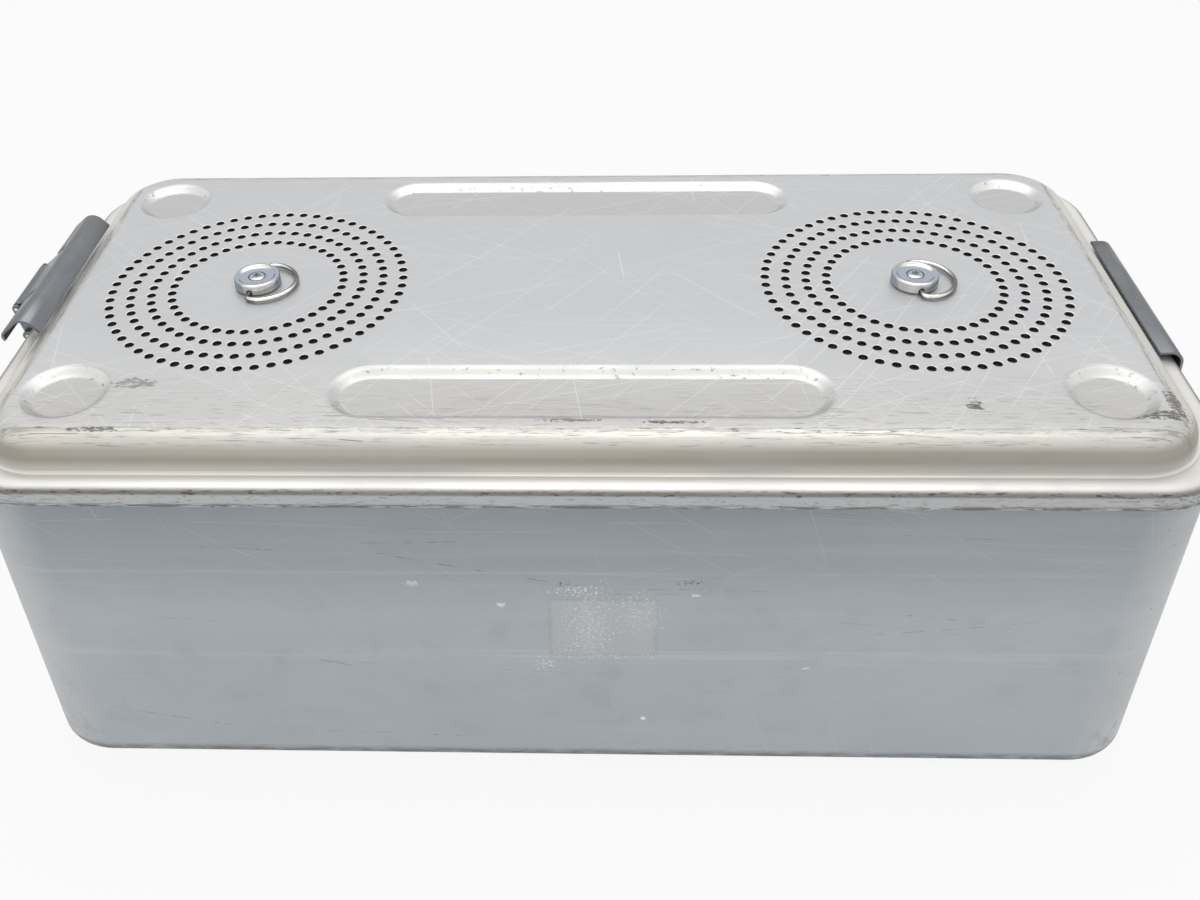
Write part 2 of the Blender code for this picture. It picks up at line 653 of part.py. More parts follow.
def make_knob_screw(side, axis):
    """Screw down through knob and stud, with a star recess in its head."""
    end = BAR_BOTTOM + GAP
    bottom = SCREW_SEAT + GAP
    chamfer = KNOB_CHAMFER / 2
    profile = (
        (0, SCREW_HEAD_TOP), (SCREW_HEAD_RADIUS - chamfer, SCREW_HEAD_TOP),
        (SCREW_HEAD_RADIUS, SCREW_HEAD_TOP - chamfer), (SCREW_HEAD_RADIUS, bottom),
        (SCREW_RADIUS, bottom), (SCREW_RADIUS, end), (0, end),
    )
    screw = turned("knob_screw_" + side, profile, SCREW_STEPS, KNOB_METAL, axis)
    star = []
    for index in range(2 * STAR_POINTS):
        reach = STAR_RADIUS if index % 2 else STAR_RADIUS * STAR_ROOT_SHARE
        angle = math.pi * index / STAR_POINTS
        star.append(Vector((reach * math.cos(angle), reach * math.sin(angle), 0)))
    heights = (SCREW_HEAD_TOP - STAR_DEPTH, SCREW_HEAD_TOP + OVERRUN)
    bm = bmesh.new()
    loft(bm, [[point + Vector((0, 0, z)) for point in star] for z in heights])
    combine(screw, cutter("star_recess_" + side, bm, axis), "DIFFERENCE")


def make_stud(side, axis):
    """Hollow stud through lid and filter, with a bayonet bar below the plate."""
    top = SEAL_WELL - 2 * GAP
    name = "lock_stud_" + side
    bm = bmesh.new()
    cylinder(bm, STUD_RADIUS, PIN_STEPS, (0, 0, BAR_BOTTOM + GAP), (0, 0, top))
    stud = place(name, to_mesh(name, bm), PLATE_METAL, axis)
    half_length, half_width = BAYONET_LENGTH / 2, BAYONET_WIDTH / 2
    bm = bmesh.new()
    box(bm, (-half_length, -half_width, BAR_BOTTOM), (half_length, half_width, BAR_TOP))
    combine(stud, cutter("bayonet_bar_" + side, bm, axis), "UNION")
    bm = bmesh.new()
    cylinder(bm, SCREW_BORE, PIN_STEPS, (0, 0, BAR_BOTTOM - OVERRUN), (0, 0, top + OVERRUN))
    combine(stud, cutter("stud_bore_" + side, bm, axis), "DIFFERENCE")


def make_bail_ring(side, axis):
    """Wire ring whose two ends turn in the knob's notches."""
    round_x, round_y = RING_REACH - RING_CORNER, RING_HALF_WIDTH - RING_CORNER
    points = [(0, -RING_LEG_END), (0, -round_y)]
    points += bend((RING_CORNER, -round_y), RING_CORNER, -3 * math.pi / 4, -math.pi / 2, 1)
    for step in range(1, RING_ARC_STEPS):
        angle = math.pi * (step / RING_ARC_STEPS - 0.5)
        points.append((RING_CORNER + round_x * math.cos(angle), RING_HALF_WIDTH * math.sin(angle)))
    points += bend((RING_CORNER, round_y), RING_CORNER, math.pi / 2, 3 * math.pi / 4, 1)
    points += [(0, round_y), (0, RING_LEG_END)]
    hinge = empty("ring_axis_" + side, (0, 0, RING_HEIGHT), axis)
    name = "bail_ring_" + side
    place(name, wire(name, [(x, y, 0) for x, y in points], RING_WIRE / 2), KNOB_METAL, hinge)


# Latch places in the frame of its own end: X outwards, Z above the floor
LEG_X = LID_X + BAR_GAP + BAR_SHEET / 2
BEND_CENTRE = (LEG_X - BAR_RADIUS, FLANGE_TOP - BAR_BEND_DROP)
LIP_CENTRE = (LEG_X - LIP_RADIUS, FLANGE_TOP - LIP_DROP)
PIVOT = (LID_X + PIVOT_OUT, FLANGE_TOP - PIVOT_DROP)
SHUT_ANGLE = -math.pi / 2 - math.asin((PIVOT[0] - LEG_X) / LINK_LENGTH)
SHUT_PIN = (LEG_X, PIVOT[1] + LINK_LENGTH * math.sin(SHUT_ANGLE))
LINK_MIDDLE = LEG_WIDTH / 2 + LINK_FROM_LEG + LINK_SHEET / 2
LUG_MIDDLE = LINK_MIDDLE + LINK_SHEET / 2 + GAP + LUG_WIDTH / 2
UPRIGHT = (math.pi / 2, 0, 0)


def make_bar(side, axis):
    """Bent sheet bar: flap, bend, two hooked lips and a leg with a knuckle."""
    shared = [(BEND_CENTRE[0] - BAR_FLAP, BEND_CENTRE[1] + BAR_RADIUS)]
    shared += bend(BEND_CENTRE, BAR_RADIUS, math.pi / 2, 0, 6)
    lip = bend(LIP_CENTRE, LIP_RADIUS, 0, -math.pi / 2, 3)
    lip.append((LIP_CENTRE[0] - LIP_LENGTH, LIP_CENTRE[1] - LIP_RADIUS))
    leg = [(LEG_X, LIP_CENTRE[1]), SHUT_PIN]
    leg_edge, bar_edge = LEG_WIDTH / 2, BAR_LENGTH / 2
    slot_edge = leg_edge + SLOT_WIDTH
    stations = (-bar_edge, -slot_edge, -leg_edge, leg_edge, slot_edge, bar_edge)
    bm = bmesh.new()

    def column(profile, station):
        return [bm.verts.new((x - SHUT_PIN[0], station, z - SHUT_PIN[1])) for x, z in profile]

    def skin(first, second):
        for index in range(len(first) - 1):
            bm.faces.new((first[index], second[index], second[index + 1], first[index + 1]))

    tops = [column(shared, station) for station in stations]
    for first, second in zip(tops, tops[1:]):
        skin(first, second)
    for start, profile in ((0, lip), (2, leg), (4, lip)):
        ends = [tops[start + step][-1:] + column(profile, stations[start + step]) for step in (0, 1)]
        skin(*ends)
    name = "latch_bar_" + side
    bar = place(name, to_mesh(name, bm), LATCH_METAL, axis)
    solidify(bar, BAR_SHEET, 0)
    bm = bmesh.new()
    cylinder(bm, KNUCKLE_RADIUS, PIN_STEPS, (0, -leg_edge, 0), (0, leg_edge, 0))
    combine(bar, cutter("knuckle_" + side, bm, axis), "UNION")
    bm = bmesh.new()
    bore_end = leg_edge + OVERRUN
    cylinder(bm, PIN_RADIUS + PIN_CLEARANCE, PIN_STEPS, (0, -bore_end, 0), (0, bore_end, 0))
    combine(bar, cutter("knuckle_bore_" + side, bm, axis), "DIFFERENCE")

    name = "latch_pin_" + side
    pin_end = LINK_MIDDLE + LINK_SHEET / 2 + GAP
    bm = bmesh.new()
    cylinder(bm, PIN_RADIUS, PIN_STEPS, (0, -pin_end, 0), (0, pin_end, 0))
    place(name, to_mesh(name, bm), KNOB_METAL, axis)


def make_latch(side, end):
    """Latch bar with its two links, and the lugs and pivots that carry them."""
    middle = LATCH_Y if side == "right" else -LATCH_Y
    swing = SWING_AT_REST[side]
    tilt = RAISED_TILT * swing / RAISED_SWING
    angle = SHUT_ANGLE + swing
    pin_x, pin_z = bend(PIVOT, LINK_LENGTH, angle, angle, 1)[0]
    make_bar(side, empty("bar_axis_" + side, (pin_x, middle, pin_z), end, (0, -tilt, 0)))

    link_axis = empty("link_axis_" + side, (PIVOT[0], middle, PIVOT[1]), end, (0, -angle, 0))
    hole = PIN_RADIUS + PIN_CLEARANCE
    link = bend((LINK_LENGTH, 0), LINK_WIDTH / 2, -math.pi / 2, math.pi / 2, 6)
    link += bend((0, 0), LINK_WIDTH / 2, math.pi / 2, 3 * math.pi / 2, 6)
    link_outlines = [link, circle((0, 0), hole, PIN_STEPS), circle((LINK_LENGTH, 0), hole, PIN_STEPS)]
    lug = bend((0, 0), LUG_RADIUS, -math.pi / 2, math.pi / 2, 6)
    lug += [(GAP - PIVOT_OUT, LUG_RADIUS), (GAP - PIVOT_OUT, -LUG_RADIUS)]
    lug_outlines = [lug, circle((0, 0), hole, PIN_STEPS)]
    pin_inner = LINK_MIDDLE - LINK_SHEET / 2 - GAP
    pin_outer = LUG_MIDDLE + LUG_WIDTH / 2 + GAP
    for row, way in rows_of(side):
        tail = row + "_" + side
        name = "latch_link_" + tail
        place(name, flat(name, link_outlines, LINK_SHEET), LATCH_METAL, link_axis,
              (0, way * LINK_MIDDLE, 0), UPRIGHT)
        name = "latch_lug_" + tail
        place(name, flat(name, lug_outlines, LUG_WIDTH), LATCH_METAL, end,
              (PIVOT[0], middle + way * LUG_MIDDLE, PIVOT[1]), UPRIGHT)
        name = "latch_pivot_" + tail
        bm = bmesh.new()
        cylinder(bm, PIN_RADIUS, PIN_STEPS, (0, way * pin_inner, 0), (0, way * pin_outer, 0))
        place(name, to_mesh(name, bm), KNOB_METAL, end, (PIVOT[0], middle, PIVOT[1]))


def make_keeper(side, end):
    """Riveted ledge that the bar's lower lips hook under."""
    middle = LATCH_Y if side == "right" else -LATCH_Y
    wall = TUB_X + GAP
    face = wall + KEEPER_SHEET
    top = SKIRT_BOTTOM - KEEPER_DROP
    ledge = TUB_X + KEEPER_REACH
    under = top - LEDGE_THICKNESS
    outline = [(wall, top), (ledge, top), (ledge, under), (face, under),
               (face, top - KEEPER_HEIGHT), (wall, top - KEEPER_HEIGHT)]
    name = "latch_keeper_" + side
    keeper = place(name, flat(name, [outline], BAR_LENGTH), LATCH_METAL, end, (0, middle, 0), UPRIGHT)
    bm = bmesh.new()
    places = keeper_rivets(1 if side == "right" else -1)
    for (row, way), (y, z) in zip(sorted(rows_of(side), key=lambda item: item[1]), places):
        cylinder(bm, RIVET_RADIUS + RIVET_CLEARANCE, RIVET_STEPS,
                 (wall - OVERRUN, y, z), (face + OVERRUN, y, z))
        make_rivet("keeper_rivet_" + row + "_" + side, y, z, face, end)
    combine(keeper, cutter("keeper_holes_" + side, bm, end), "DIFFERENCE")


def make_brackets(side, end, pivot_x):
    """Two riveted brackets, each with an ear that carries the handle."""
    wall = TUB_X + GAP
    face = wall + BRACKET_SHEET
    half = BRACKET_HEIGHT / 2
    for row, way in rows_of(side):
        name = "handle_bracket_" + row + "_" + side
        inner, outer = sorted((way * EAR_INNER, way * (EAR_INNER + BRACKET_WIDTH)))
        bm = bmesh.new()
        box(bm, (wall, inner, HANDLE_PIVOT_Z - half), (face, outer, HANDLE_PIVOT_Z + half))
        bracket = place(name, to_mesh(name, bm), PLATE_METAL, end)
        inner, outer = sorted((way * EAR_INNER, way * (EAR_INNER + EAR_THICKNESS)))
        bm = bmesh.new()
        box(bm, (face - BRACKET_SHEET / 2, inner, HANDLE_PIVOT_Z - EAR_HEIGHT / 2),
            (pivot_x + EAR_BEYOND, outer, HANDLE_PIVOT_Z + EAR_HEIGHT / 2))
        combine(bracket, cutter("ear_" + row + "_" + side, bm, end), "UNION")
        bm = bmesh.new()
        cylinder(bm, HANDLE_ROD / 2 + PIN_CLEARANCE, PIN_STEPS, (pivot_x, inner - OVERRUN, HANDLE_PIVOT_Z),
                 (pivot_x, outer + OVERRUN, HANDLE_PIVOT_Z))
        y = way * BRACKET_MIDDLE
        for level, rise in (("lower", -HANDLE_RIVET_RISE), ("upper", HANDLE_RIVET_RISE)):
            z = HANDLE_PIVOT_Z + rise
            cylinder(bm, RIVET_RADIUS + RIVET_CLEARANCE, RIVET_STEPS,
                     (wall - OVERRUN, y, z), (face + OVERRUN, y, z))
            make_rivet("_".join(("handle_rivet", level, row, side)), y, z, face, end)
        combine(bracket, cutter("bracket_holes_" + row + "_" + side, bm, end), "DIFFERENCE")


def make_handle(side, end):
    """Drop handle: a bent rod in the brackets' ears, with a sleeve grip."""
    pivot_x = TUB_X + GAP + GRIP_RADIUS + GAP
    make_brackets(side, end, pivot_x)
    axis = empty("handle_axis_" + side, (pivot_x, 0, HANDLE_PIVOT_Z), end)
    rod = HANDLE_ROD / 2
    half, low = HANDLE_HALF_WIDTH, HANDLE_BEND - HANDLE_DROP
    arm = [(half + HANDLE_STUB, 0)]
    arm += bend((half + HANDLE_BEND, -HANDLE_BEND), HANDLE_BEND, math.pi / 2, math.pi, 3)
    arm += bend((half - HANDLE_BEND, low), HANDLE_BEND, 0, -math.pi / 2, 3)
    arm += [(-y, z) for y, z in reversed(arm)]
    name = "handle_bail_" + side
    place(name, wire(name, [(0, y, z) for y, z in arm], rod), PLATE_METAL, axis)

    bore = rod + GAP
    end_at, swell, middle = (GRIP_LENGTH / 2 * share for share in (1, GRIP_SWELL_SHARE, GRIP_WAIST_SHARE))
    waist = GRIP_RADIUS - GRIP_WAIST
    profile = ((bore, end_at), (waist, end_at), (GRIP_RADIUS, swell), (waist, middle),
               (waist, -middle), (GRIP_RADIUS, -swell), (waist, -end_at), (bore, -end_at))
    turned("handle_grip_" + side, profile, GRIP_STEPS, GRIP_PLASTIC, axis, ring=True,
           location=(0, 0, -HANDLE_DROP), turn=UPRIGHT)


def main():
    make_tub()
    make_lid()
    make_gasket()
    for side, sign in zip(SIDES, (-1, 1)):
        make_filter_set(side, sign * VENT_X)
        axis = empty("knob_axis_" + side, (sign * VENT_X, 0, LID_TOP), turn=(0, 0, RING_TURN[side]))
        make_knob(side, axis)
        make_knob_seal(side, axis)
        make_knob_screw(side, axis)
        make_stud(side, axis)
        make_bail_ring(side, axis)
        end = empty("end_" + side, (0, 0, 0), turn=(0, 0, math.pi if side == "left" else 0))
        make_keeper(side, end)
        make_latch(side, end)
        make_handle(side, end)


main()
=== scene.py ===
from math import asin, copysign, cos, hypot, pi, radians, sin

import bmesh
import bpy
import numpy as np
from mathutils import Matrix, Vector
from mathutils.geometry import delaunay_2d_cdt


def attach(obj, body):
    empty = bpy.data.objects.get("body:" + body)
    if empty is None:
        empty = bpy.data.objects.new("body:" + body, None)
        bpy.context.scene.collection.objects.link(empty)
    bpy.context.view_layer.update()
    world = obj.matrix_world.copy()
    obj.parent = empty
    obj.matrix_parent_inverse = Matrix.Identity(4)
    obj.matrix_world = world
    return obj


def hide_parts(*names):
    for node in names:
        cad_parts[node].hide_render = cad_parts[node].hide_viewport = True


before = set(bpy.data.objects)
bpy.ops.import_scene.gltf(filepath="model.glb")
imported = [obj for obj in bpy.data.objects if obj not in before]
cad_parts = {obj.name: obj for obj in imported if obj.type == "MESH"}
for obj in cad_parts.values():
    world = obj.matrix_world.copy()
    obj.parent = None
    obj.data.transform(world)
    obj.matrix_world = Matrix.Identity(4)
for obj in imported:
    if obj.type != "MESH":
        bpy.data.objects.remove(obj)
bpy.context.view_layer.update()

# Camera: stands a little above head height of the container on its table and
# looks down at the front long side, a hand's breadth right of the middle.
def new_object(name, data):
    made = bpy.data.objects.new(name, data)
    bpy.context.scene.collection.objects.link(made)
    return made


camera_data = bpy.data.cameras.new("camera")
camera_data.lens = 37.596
camera_data.sensor_width = 36.0
camera_data.shift_x = 0.0372
camera_data.shift_y = -0.0667
camera_data.clip_start = 0.01
camera = new_object("camera", camera_data)
camera_right = (0.99918, 0.03287, -0.02371)
camera_down = (-0.00007, -0.58369, -0.81197)
camera_ahead = (-0.04053, 0.81131, -0.58321)
camera_place = (0.012206, -0.557386, 0.556579)
camera_axes = zip(camera_right, camera_down, camera_ahead, camera_place)
camera_rows = [(right, -down, -ahead, place) for right, down, ahead, place in camera_axes]
camera.matrix_world = Matrix(camera_rows + [(0, 0, 0, 1)])
bpy.context.scene.camera = camera
bpy.context.scene.view_settings.view_transform = "Standard"


# Table and room: a plain white table, which keeps the container's shadow, in a
# white room with one broad soft light overhead and a weaker one at the front.
def add(tree, kind, inputs=None, **settings):
    """A shader node of one kind, with its settings, its values and the links into it."""
    made = tree.nodes.new("ShaderNode" + kind)
    for name, value in settings.items():
        setattr(made, name, value)
    for name, value in (inputs or {}).items():
        if isinstance(value, bpy.types.NodeSocket):
            tree.links.new(value, made.inputs[name])
        else:
            made.inputs[name].default_value = value
    return made


def own_tree(*values):
    """The node tree of the first socket among some values."""
    return next(value.id_data for value in values if isinstance(value, bpy.types.NodeSocket))


def maths(operation, first, second=0.0, clamp=False):
    made = add(own_tree(first, second), "Math", {0: first, 1: second},
               operation=operation, use_clamp=clamp)
    return made.outputs[0]


def in_turn(operation):
    """A function that joins any number of values by one operation."""
    def join(first, *others, clamp=False):
        for other in others:
            first = maths(operation, first, other, clamp)
        return first
    return join


times, most, plus, minus = (in_turn(name) for name in ("MULTIPLY", "MAXIMUM", "ADD", "SUBTRACT"))


def seen_clear(tree):
    """1 for what is seen straight, in a mirror or through glass, 0 for soft light."""
    rays = add(tree, "LightPath").outputs
    return most(*(rays[f"Is {kind} Ray"] for kind in ("Camera", "Glossy", "Transmission")))


def solid(bm, name, sharp=0):
    """Turn a shape into an object, smooth but for edges above an angle if one is given."""
    bmesh.ops.recalc_face_normals(bm, faces=bm.faces)
    mesh = bpy.data.meshes.new(name)
    bm.to_mesh(mesh)
    bm.free()
    if sharp:
        smooth(mesh, sharp)
    return new_object(name, mesh)


def smooth(mesh, sharp):
    mesh.shade_smooth()
    mesh.set_sharp_from_angle(angle=radians(sharp))


def make_table():
    material = bpy.data.materials.new("white_table")
    material.use_nodes = True
    tree = material.node_tree
    tree.nodes.clear()
    paint = add(tree, "BsdfDiffuse", {"Color": (0.9, 0.9, 0.9, 1)})
    glow = add(tree, "Emission", {"Color": (1, 1, 1, 1), "Strength": 1.0})
    mixed = add(tree, "MixShader", {0: times(seen_clear(tree), 0.9), 1: paint.outputs[0],
                                    2: glow.outputs[0]})
    add(tree, "OutputMaterial", {"Surface": mixed.outputs[0]})
    bm = bmesh.new()
    bmesh.ops.create_grid(bm, x_segments=2, y_segments=2, size=6.0)
    table = solid(bm, "table")
    table.data.materials.append(material)
    table.location = (0, 0, -0.0002)


make_table()
world = bpy.data.worlds.new("white_room")
bpy.context.scene.world = world
world.use_nodes = True
room = world.node_tree
room.nodes.clear()
room_level = add(room, "MapRange", {"Value": seen_clear(room), "To Min": 0.5, "To Max": 1.0})
room_light = add(room, "Background", {"Color": (1, 1, 1, 1), "Strength": room_level.outputs[0]})
add(room, "OutputWorld", {"Surface": room_light.outputs[0]})


def soft_light(name, place, width, depth, power, tint):
    """A broad lamp aimed at the middle of the container."""
    lamp = bpy.data.lights.new(name, "AREA")
    lamp.shape = "RECTANGLE"
    lamp.size = width
    lamp.size_y = depth
    lamp.energy = power
    lamp.color = tint
    holder = new_object(name, lamp)
    holder.location = place
    aim = Vector((0, 0, 0.1)) - Vector(place)
    holder.rotation_euler = aim.to_track_quat("-Z", "Y").to_euler()


soft_light("overhead_light", (0.0, 0.35, 1.7), 1.7, 1.0, 9.5, (1.0, 1.0, 1.0))
soft_light("front_light", (-0.5, -1.9, 1.1), 1.2, 0.8, 3.0, (1.0, 0.99, 0.97))


# Lid: one aluminium sheet, deep drawn into a low dome with a flange and a short
# skirt, with six hollows pressed in its top and two fields of drilled holes.
MM = 0.001
lid_top = 211.5 * MM
lid_half_length = 292.0 * MM
lid_half_width = 145.5 * MM
lid_corner = 40.5 * MM
lid_sheet = 1.8 * MM
flange_end = 11.8 * MM
flange_side = 10.3 * MM
dome_corner = 35.0 * MM
dome_height = 16.2 * MM
dome_edge = 14.2 * MM
dome_fillet = 1.6 * MM
groove_depth = 0.35 * MM
groove_width = 1.1 * MM
shoulder_run = 8.0 * MM
shoulder_drop = 2.6 * MM
skirt_height = 10.5 * MM
flange_top = lid_top - dome_height
skirt_bottom = flange_top - skirt_height
hollow_depth = 3.6 * MM
round_hollow = (22.3 * MM, 14.6 * MM)
long_hollow = (21.4 * MM, 13.9 * MM)
vent_x = 171.0 * MM
vent_radius = 2.35 * MM
vent_chamfer = 0.35 * MM
vent_rings = (44.6 * MM, 55.13 * MM, 65.66 * MM, 76.19 * MM)
vent_counts = (39, 46, 53, 60)
vent_phases = {-1: (-3.22, -4.77, 0.89, -0.78), 1: (3.30, -2.92, -0.72, 0.97)}
stud_hole = 4.3 * MM
corner_steps = 14


def corner_outline(half_x, half_y, radius, z):
    """Points round a rounded rectangle, anticlockwise from above."""
    points = []
    for quarter, (sx, sy) in enumerate(((1, 1), (-1, 1), (-1, -1), (1, -1))):
        for step in range(corner_steps + 1):
            angle = (quarter + step / corner_steps) * pi / 2
            points.append((sx * (half_x - radius) + radius * cos(angle),
                           sy * (half_y - radius) + radius * sin(angle), z))
    return points


def dome_outline(outset, z):
    inset = dome_fillet - outset
    return corner_outline(lid_half_length - flange_end - inset,
                          lid_half_width - flange_side - inset, dome_corner - inset, z)


def skirt_outline(inset, z):
    return corner_outline(lid_half_length - inset, lid_half_width - inset, lid_corner - inset, z)


def ring_of(bm, points):
    return [bm.verts.new(point) for point in points]


def slot_ring(bm, x, y, radius, z, steps, half_length=0.0):
    """A ring round a circle, or round a slot along X, anticlockwise."""
    points = []
    for step in range(steps):
        angle = 2 * pi * (step + 0.5) / steps
        shift = copysign(half_length, cos(angle))
        points.append((x + shift + radius * cos(angle), y + radius * sin(angle), z))
    return ring_of(bm, points)


def skin(bm, first, second, finish=0):
    """Faces between two rings, facing out where the second lies above the first."""
    for index in range(len(first)):
        following = (index + 1) % len(first)
        face = bm.faces.new((first[index], first[following], second[following], second[index]))
        face.material_index = finish


def skin_all(bm, rings):
    for first, second in zip(rings, rings[1:]):
        skin(bm, first, second)


def pierced_face(bm, rings, inside, facing_up=True):
    """Fill the plane between an outer ring and the rings of its holes."""
    corners = [vert for ring in rings for vert in ring]
    edges = []
    start = 0
    for ring in rings:
        edges += [(start + i, start + (i + 1) % len(ring)) for i in range(len(ring))]
        start += len(ring)
    flat = [Vector((vert.co.x, vert.co.y)) for vert in corners]
    points, _, faces, sources, _, _ = delaunay_2d_cdt(flat, edges, [], 1, 1e-7, True)
    for face in faces:
        middle = sum((points[index] for index in face), Vector((0, 0))) / len(face)
        if inside(middle.x, middle.y):
            made = [corners[sources[index][0]] for index in face]
            bm.faces.new(made if facing_up else made[::-1])


def arc(count):
    return [pi / 2 * step / count for step in range(count + 1)]


far_corners = [(sx * 241.7 * MM, sy * 94.0 * MM) for sx in (-1, 1) for sy in (-1, 1)]
hollows = [(x, y, 0.0, round_hollow) for x, y in far_corners]
hollows += [(0.0, sy * 94.0 * MM, 97.3 * MM, long_hollow) for sy in (-1, 1)]
vents = []
for vent_side in (-1, 1):
    for reach, count, phase in zip(vent_rings, vent_counts, vent_phases[vent_side]):
        for index in range(count):
            vent_angle = radians(phase) + 2 * pi * index / count
            vents.append((vent_side * vent_x + reach * cos(vent_angle), reach * sin(vent_angle),
                          vent_radius))
    vents.append((vent_side * vent_x, 0.0, stud_hole))
vent_places = np.array(vents)


def on_lid_sheet(spread):
    """A test for points of the flat top that lie outside holes and hollows."""
    def inside(x, y):
        away = np.hypot(vent_places[:, 0] - x, vent_places[:, 1] - y)
        if (away < vent_places[:, 2] + vent_chamfer / 2).any():
            return False
        for hollow_x, hollow_y, half_length, (outer, _) in hollows:
            across = max(abs(x - hollow_x) - half_length, 0.0)
            if hypot(across, y - hollow_y) < (outer + spread) * 0.995:
                return False
        return True
    return inside


def hollow_rings(bm, spread, top, depth, place):
    """Rings down the soft slope of one hollow and the disc of its floor."""
    x, y, half_length, (outer, inner) = place
    steps = 56 if half_length else 48
    rings = []
    for step in range(13):
        share = step / 12
        radius = outer + spread + (inner - outer) * share
        fall = depth * share * share * (3 - 2 * share)
        rings.append(slot_ring(bm, x, y, radius, top - fall, steps, half_length))
    return rings


def press_hollows(bm, places, spread, top, bottom, depth, upper, lower):
    """Press hollows through a sheet, and add their rims to its two faces."""
    for place in places:
        top_rings = hollow_rings(bm, 0.0, top, depth, place)
        low_rings = hollow_rings(bm, spread, bottom, depth, place)
        skin_all(bm, top_rings[::-1])
        skin_all(bm, low_rings)
        bm.faces.new(top_rings[-1])
        bm.faces.new(low_rings[-1][::-1])
        upper.append(top_rings[0])
        lower.append(low_rings[0])


def shoulder_outline(c, inset, drop):
    """The flange's rounded shoulder at one angle of its arc, or a skin inside it."""
    return skirt_outline(shoulder_run * (1 - sin(c)) + inset * sin(c),
                         flange_top - shoulder_drop * (1 - cos(c)) - drop * cos(c))


def make_lid():
    t = lid_sheet
    bm = bmesh.new()
    outer = [dome_outline(dome_edge * (sin(c) - 1), lid_top - dome_edge * (1 - cos(c)))
             for c in arc(12)]
    outer += [dome_outline(dome_fillet * (1 - cos(b)),
                           flange_top - groove_depth + dome_fillet * (1 - sin(b))) for b in arc(5)]
    outer += [dome_outline(dome_fillet + groove_width * out, flange_top - groove_depth * down)
              for out, down in ((0.45, 0.9), (0.8, 0.15), (1.0, 0.0))]
    outer += [shoulder_outline(c, 0.0, 0.0) for c in arc(12)]
    lip = [skirt_outline(t / 2 * (1 - cos(c)), skirt_bottom + t / 2 * (1 - sin(c)))
           for c in (pi * step / 6 for step in range(7))]
    inner = [shoulder_outline(c, t, 0.85 * t) for c in arc(10)[::-1]]
    inner += [dome_outline(dome_fillet - (dome_fillet + t) * cos(b), flange_top
                           + dome_fillet - (dome_fillet + t) * sin(b)) for b in arc(4)[::-1]]
    inner += [dome_outline((dome_edge - t) * sin(c) - dome_edge,
                           lid_top - dome_edge + (dome_edge - t) * cos(c)) for c in arc(8)[::-1]]
    rings = [ring_of(bm, points) for points in outer + lip + inner]
    skin_all(bm, rings[::-1])

    slope_spread = 0.3 * MM
    upper, lower = [rings[0]], [rings[-1]]
    press_hollows(bm, hollows, slope_spread, lid_top, lid_top - t, hollow_depth, upper, lower)
    for x, y, radius in vents:
        steps = 12 if radius < stud_hole else 24
        rim = slot_ring(bm, x, y, radius + vent_chamfer, lid_top, steps)
        edge = slot_ring(bm, x, y, radius, lid_top - vent_chamfer, steps)
        foot = slot_ring(bm, x, y, radius, lid_top - t, steps)
        skin(bm, edge, rim)
        skin(bm, foot, edge, 1)
        upper.append(rim)
        lower.append(foot)
    pierced_face(bm, upper, on_lid_sheet(0.0))
    pierced_face(bm, lower, on_lid_sheet(slope_spread), facing_up=False)
    return solid(bm, "lid_shell", 32)


def mask_group(name, vectors=(), **floats):
    """An empty node group that gives a mask, with its inputs and its output."""
    group = bpy.data.node_groups.new(name, "ShaderNodeTree")
    for socket in ("Vector", *vectors):
        group.interface.new_socket(socket, in_out="INPUT", socket_type="NodeSocketVector")
    for socket, value in floats.items():
        made = group.interface.new_socket(socket, in_out="INPUT", socket_type="NodeSocketFloat")
        made.default_value = value
    group.interface.new_socket("Mask", in_out="OUTPUT", socket_type="NodeSocketFloat")
    given = group.nodes.new("NodeGroupInput").outputs
    return group, given, group.nodes.new("NodeGroupOutput").inputs["Mask"]


def split(vector):
    return add(own_tree(vector), "SeparateXYZ", {0: vector}).outputs


def vector_of(x, y, z):
    return add(own_tree(x, y, z), "CombineXYZ", {0: x, 1: y, 2: z}).outputs[0]


def vectors(operation, first, second):
    return add(own_tree(first, second), "VectorMath", {0: first, 1: second},
               operation=operation).outputs[0]


def band(value, low, high, to_low=0.0, to_high=1.0):
    """Map a value between two limits, softly and clamped."""
    made = add(own_tree(value), "MapRange", {"Value": value, "From Min": low, "From Max": high,
                                             "To Min": to_low, "To Max": to_high})
    made.interpolation_type = "SMOOTHSTEP"
    return made.outputs[0]


def blend(share, first, second):
    """Mix two colours, each a socket or three numbers."""
    first, second = (value if isinstance(value, bpy.types.NodeSocket) else (*value, 1.0)
                     for value in (first, second))
    return add(own_tree(share), "Mix", {0: share, 6: first, 7: second}, data_type="RGBA").outputs[2]


def coat(under, shade, *masks):
    """Lay a colour over another, as far as the product of its masks goes."""
    return blend(times(*masks), under, shade)


def noise(vector, scale, detail=2.0, roughness=0.5, output="Fac"):
    return add(own_tree(vector), "TexNoise", {
        "Vector": vector, "Scale": scale, "Detail": detail, "Roughness": roughness}).outputs[output]


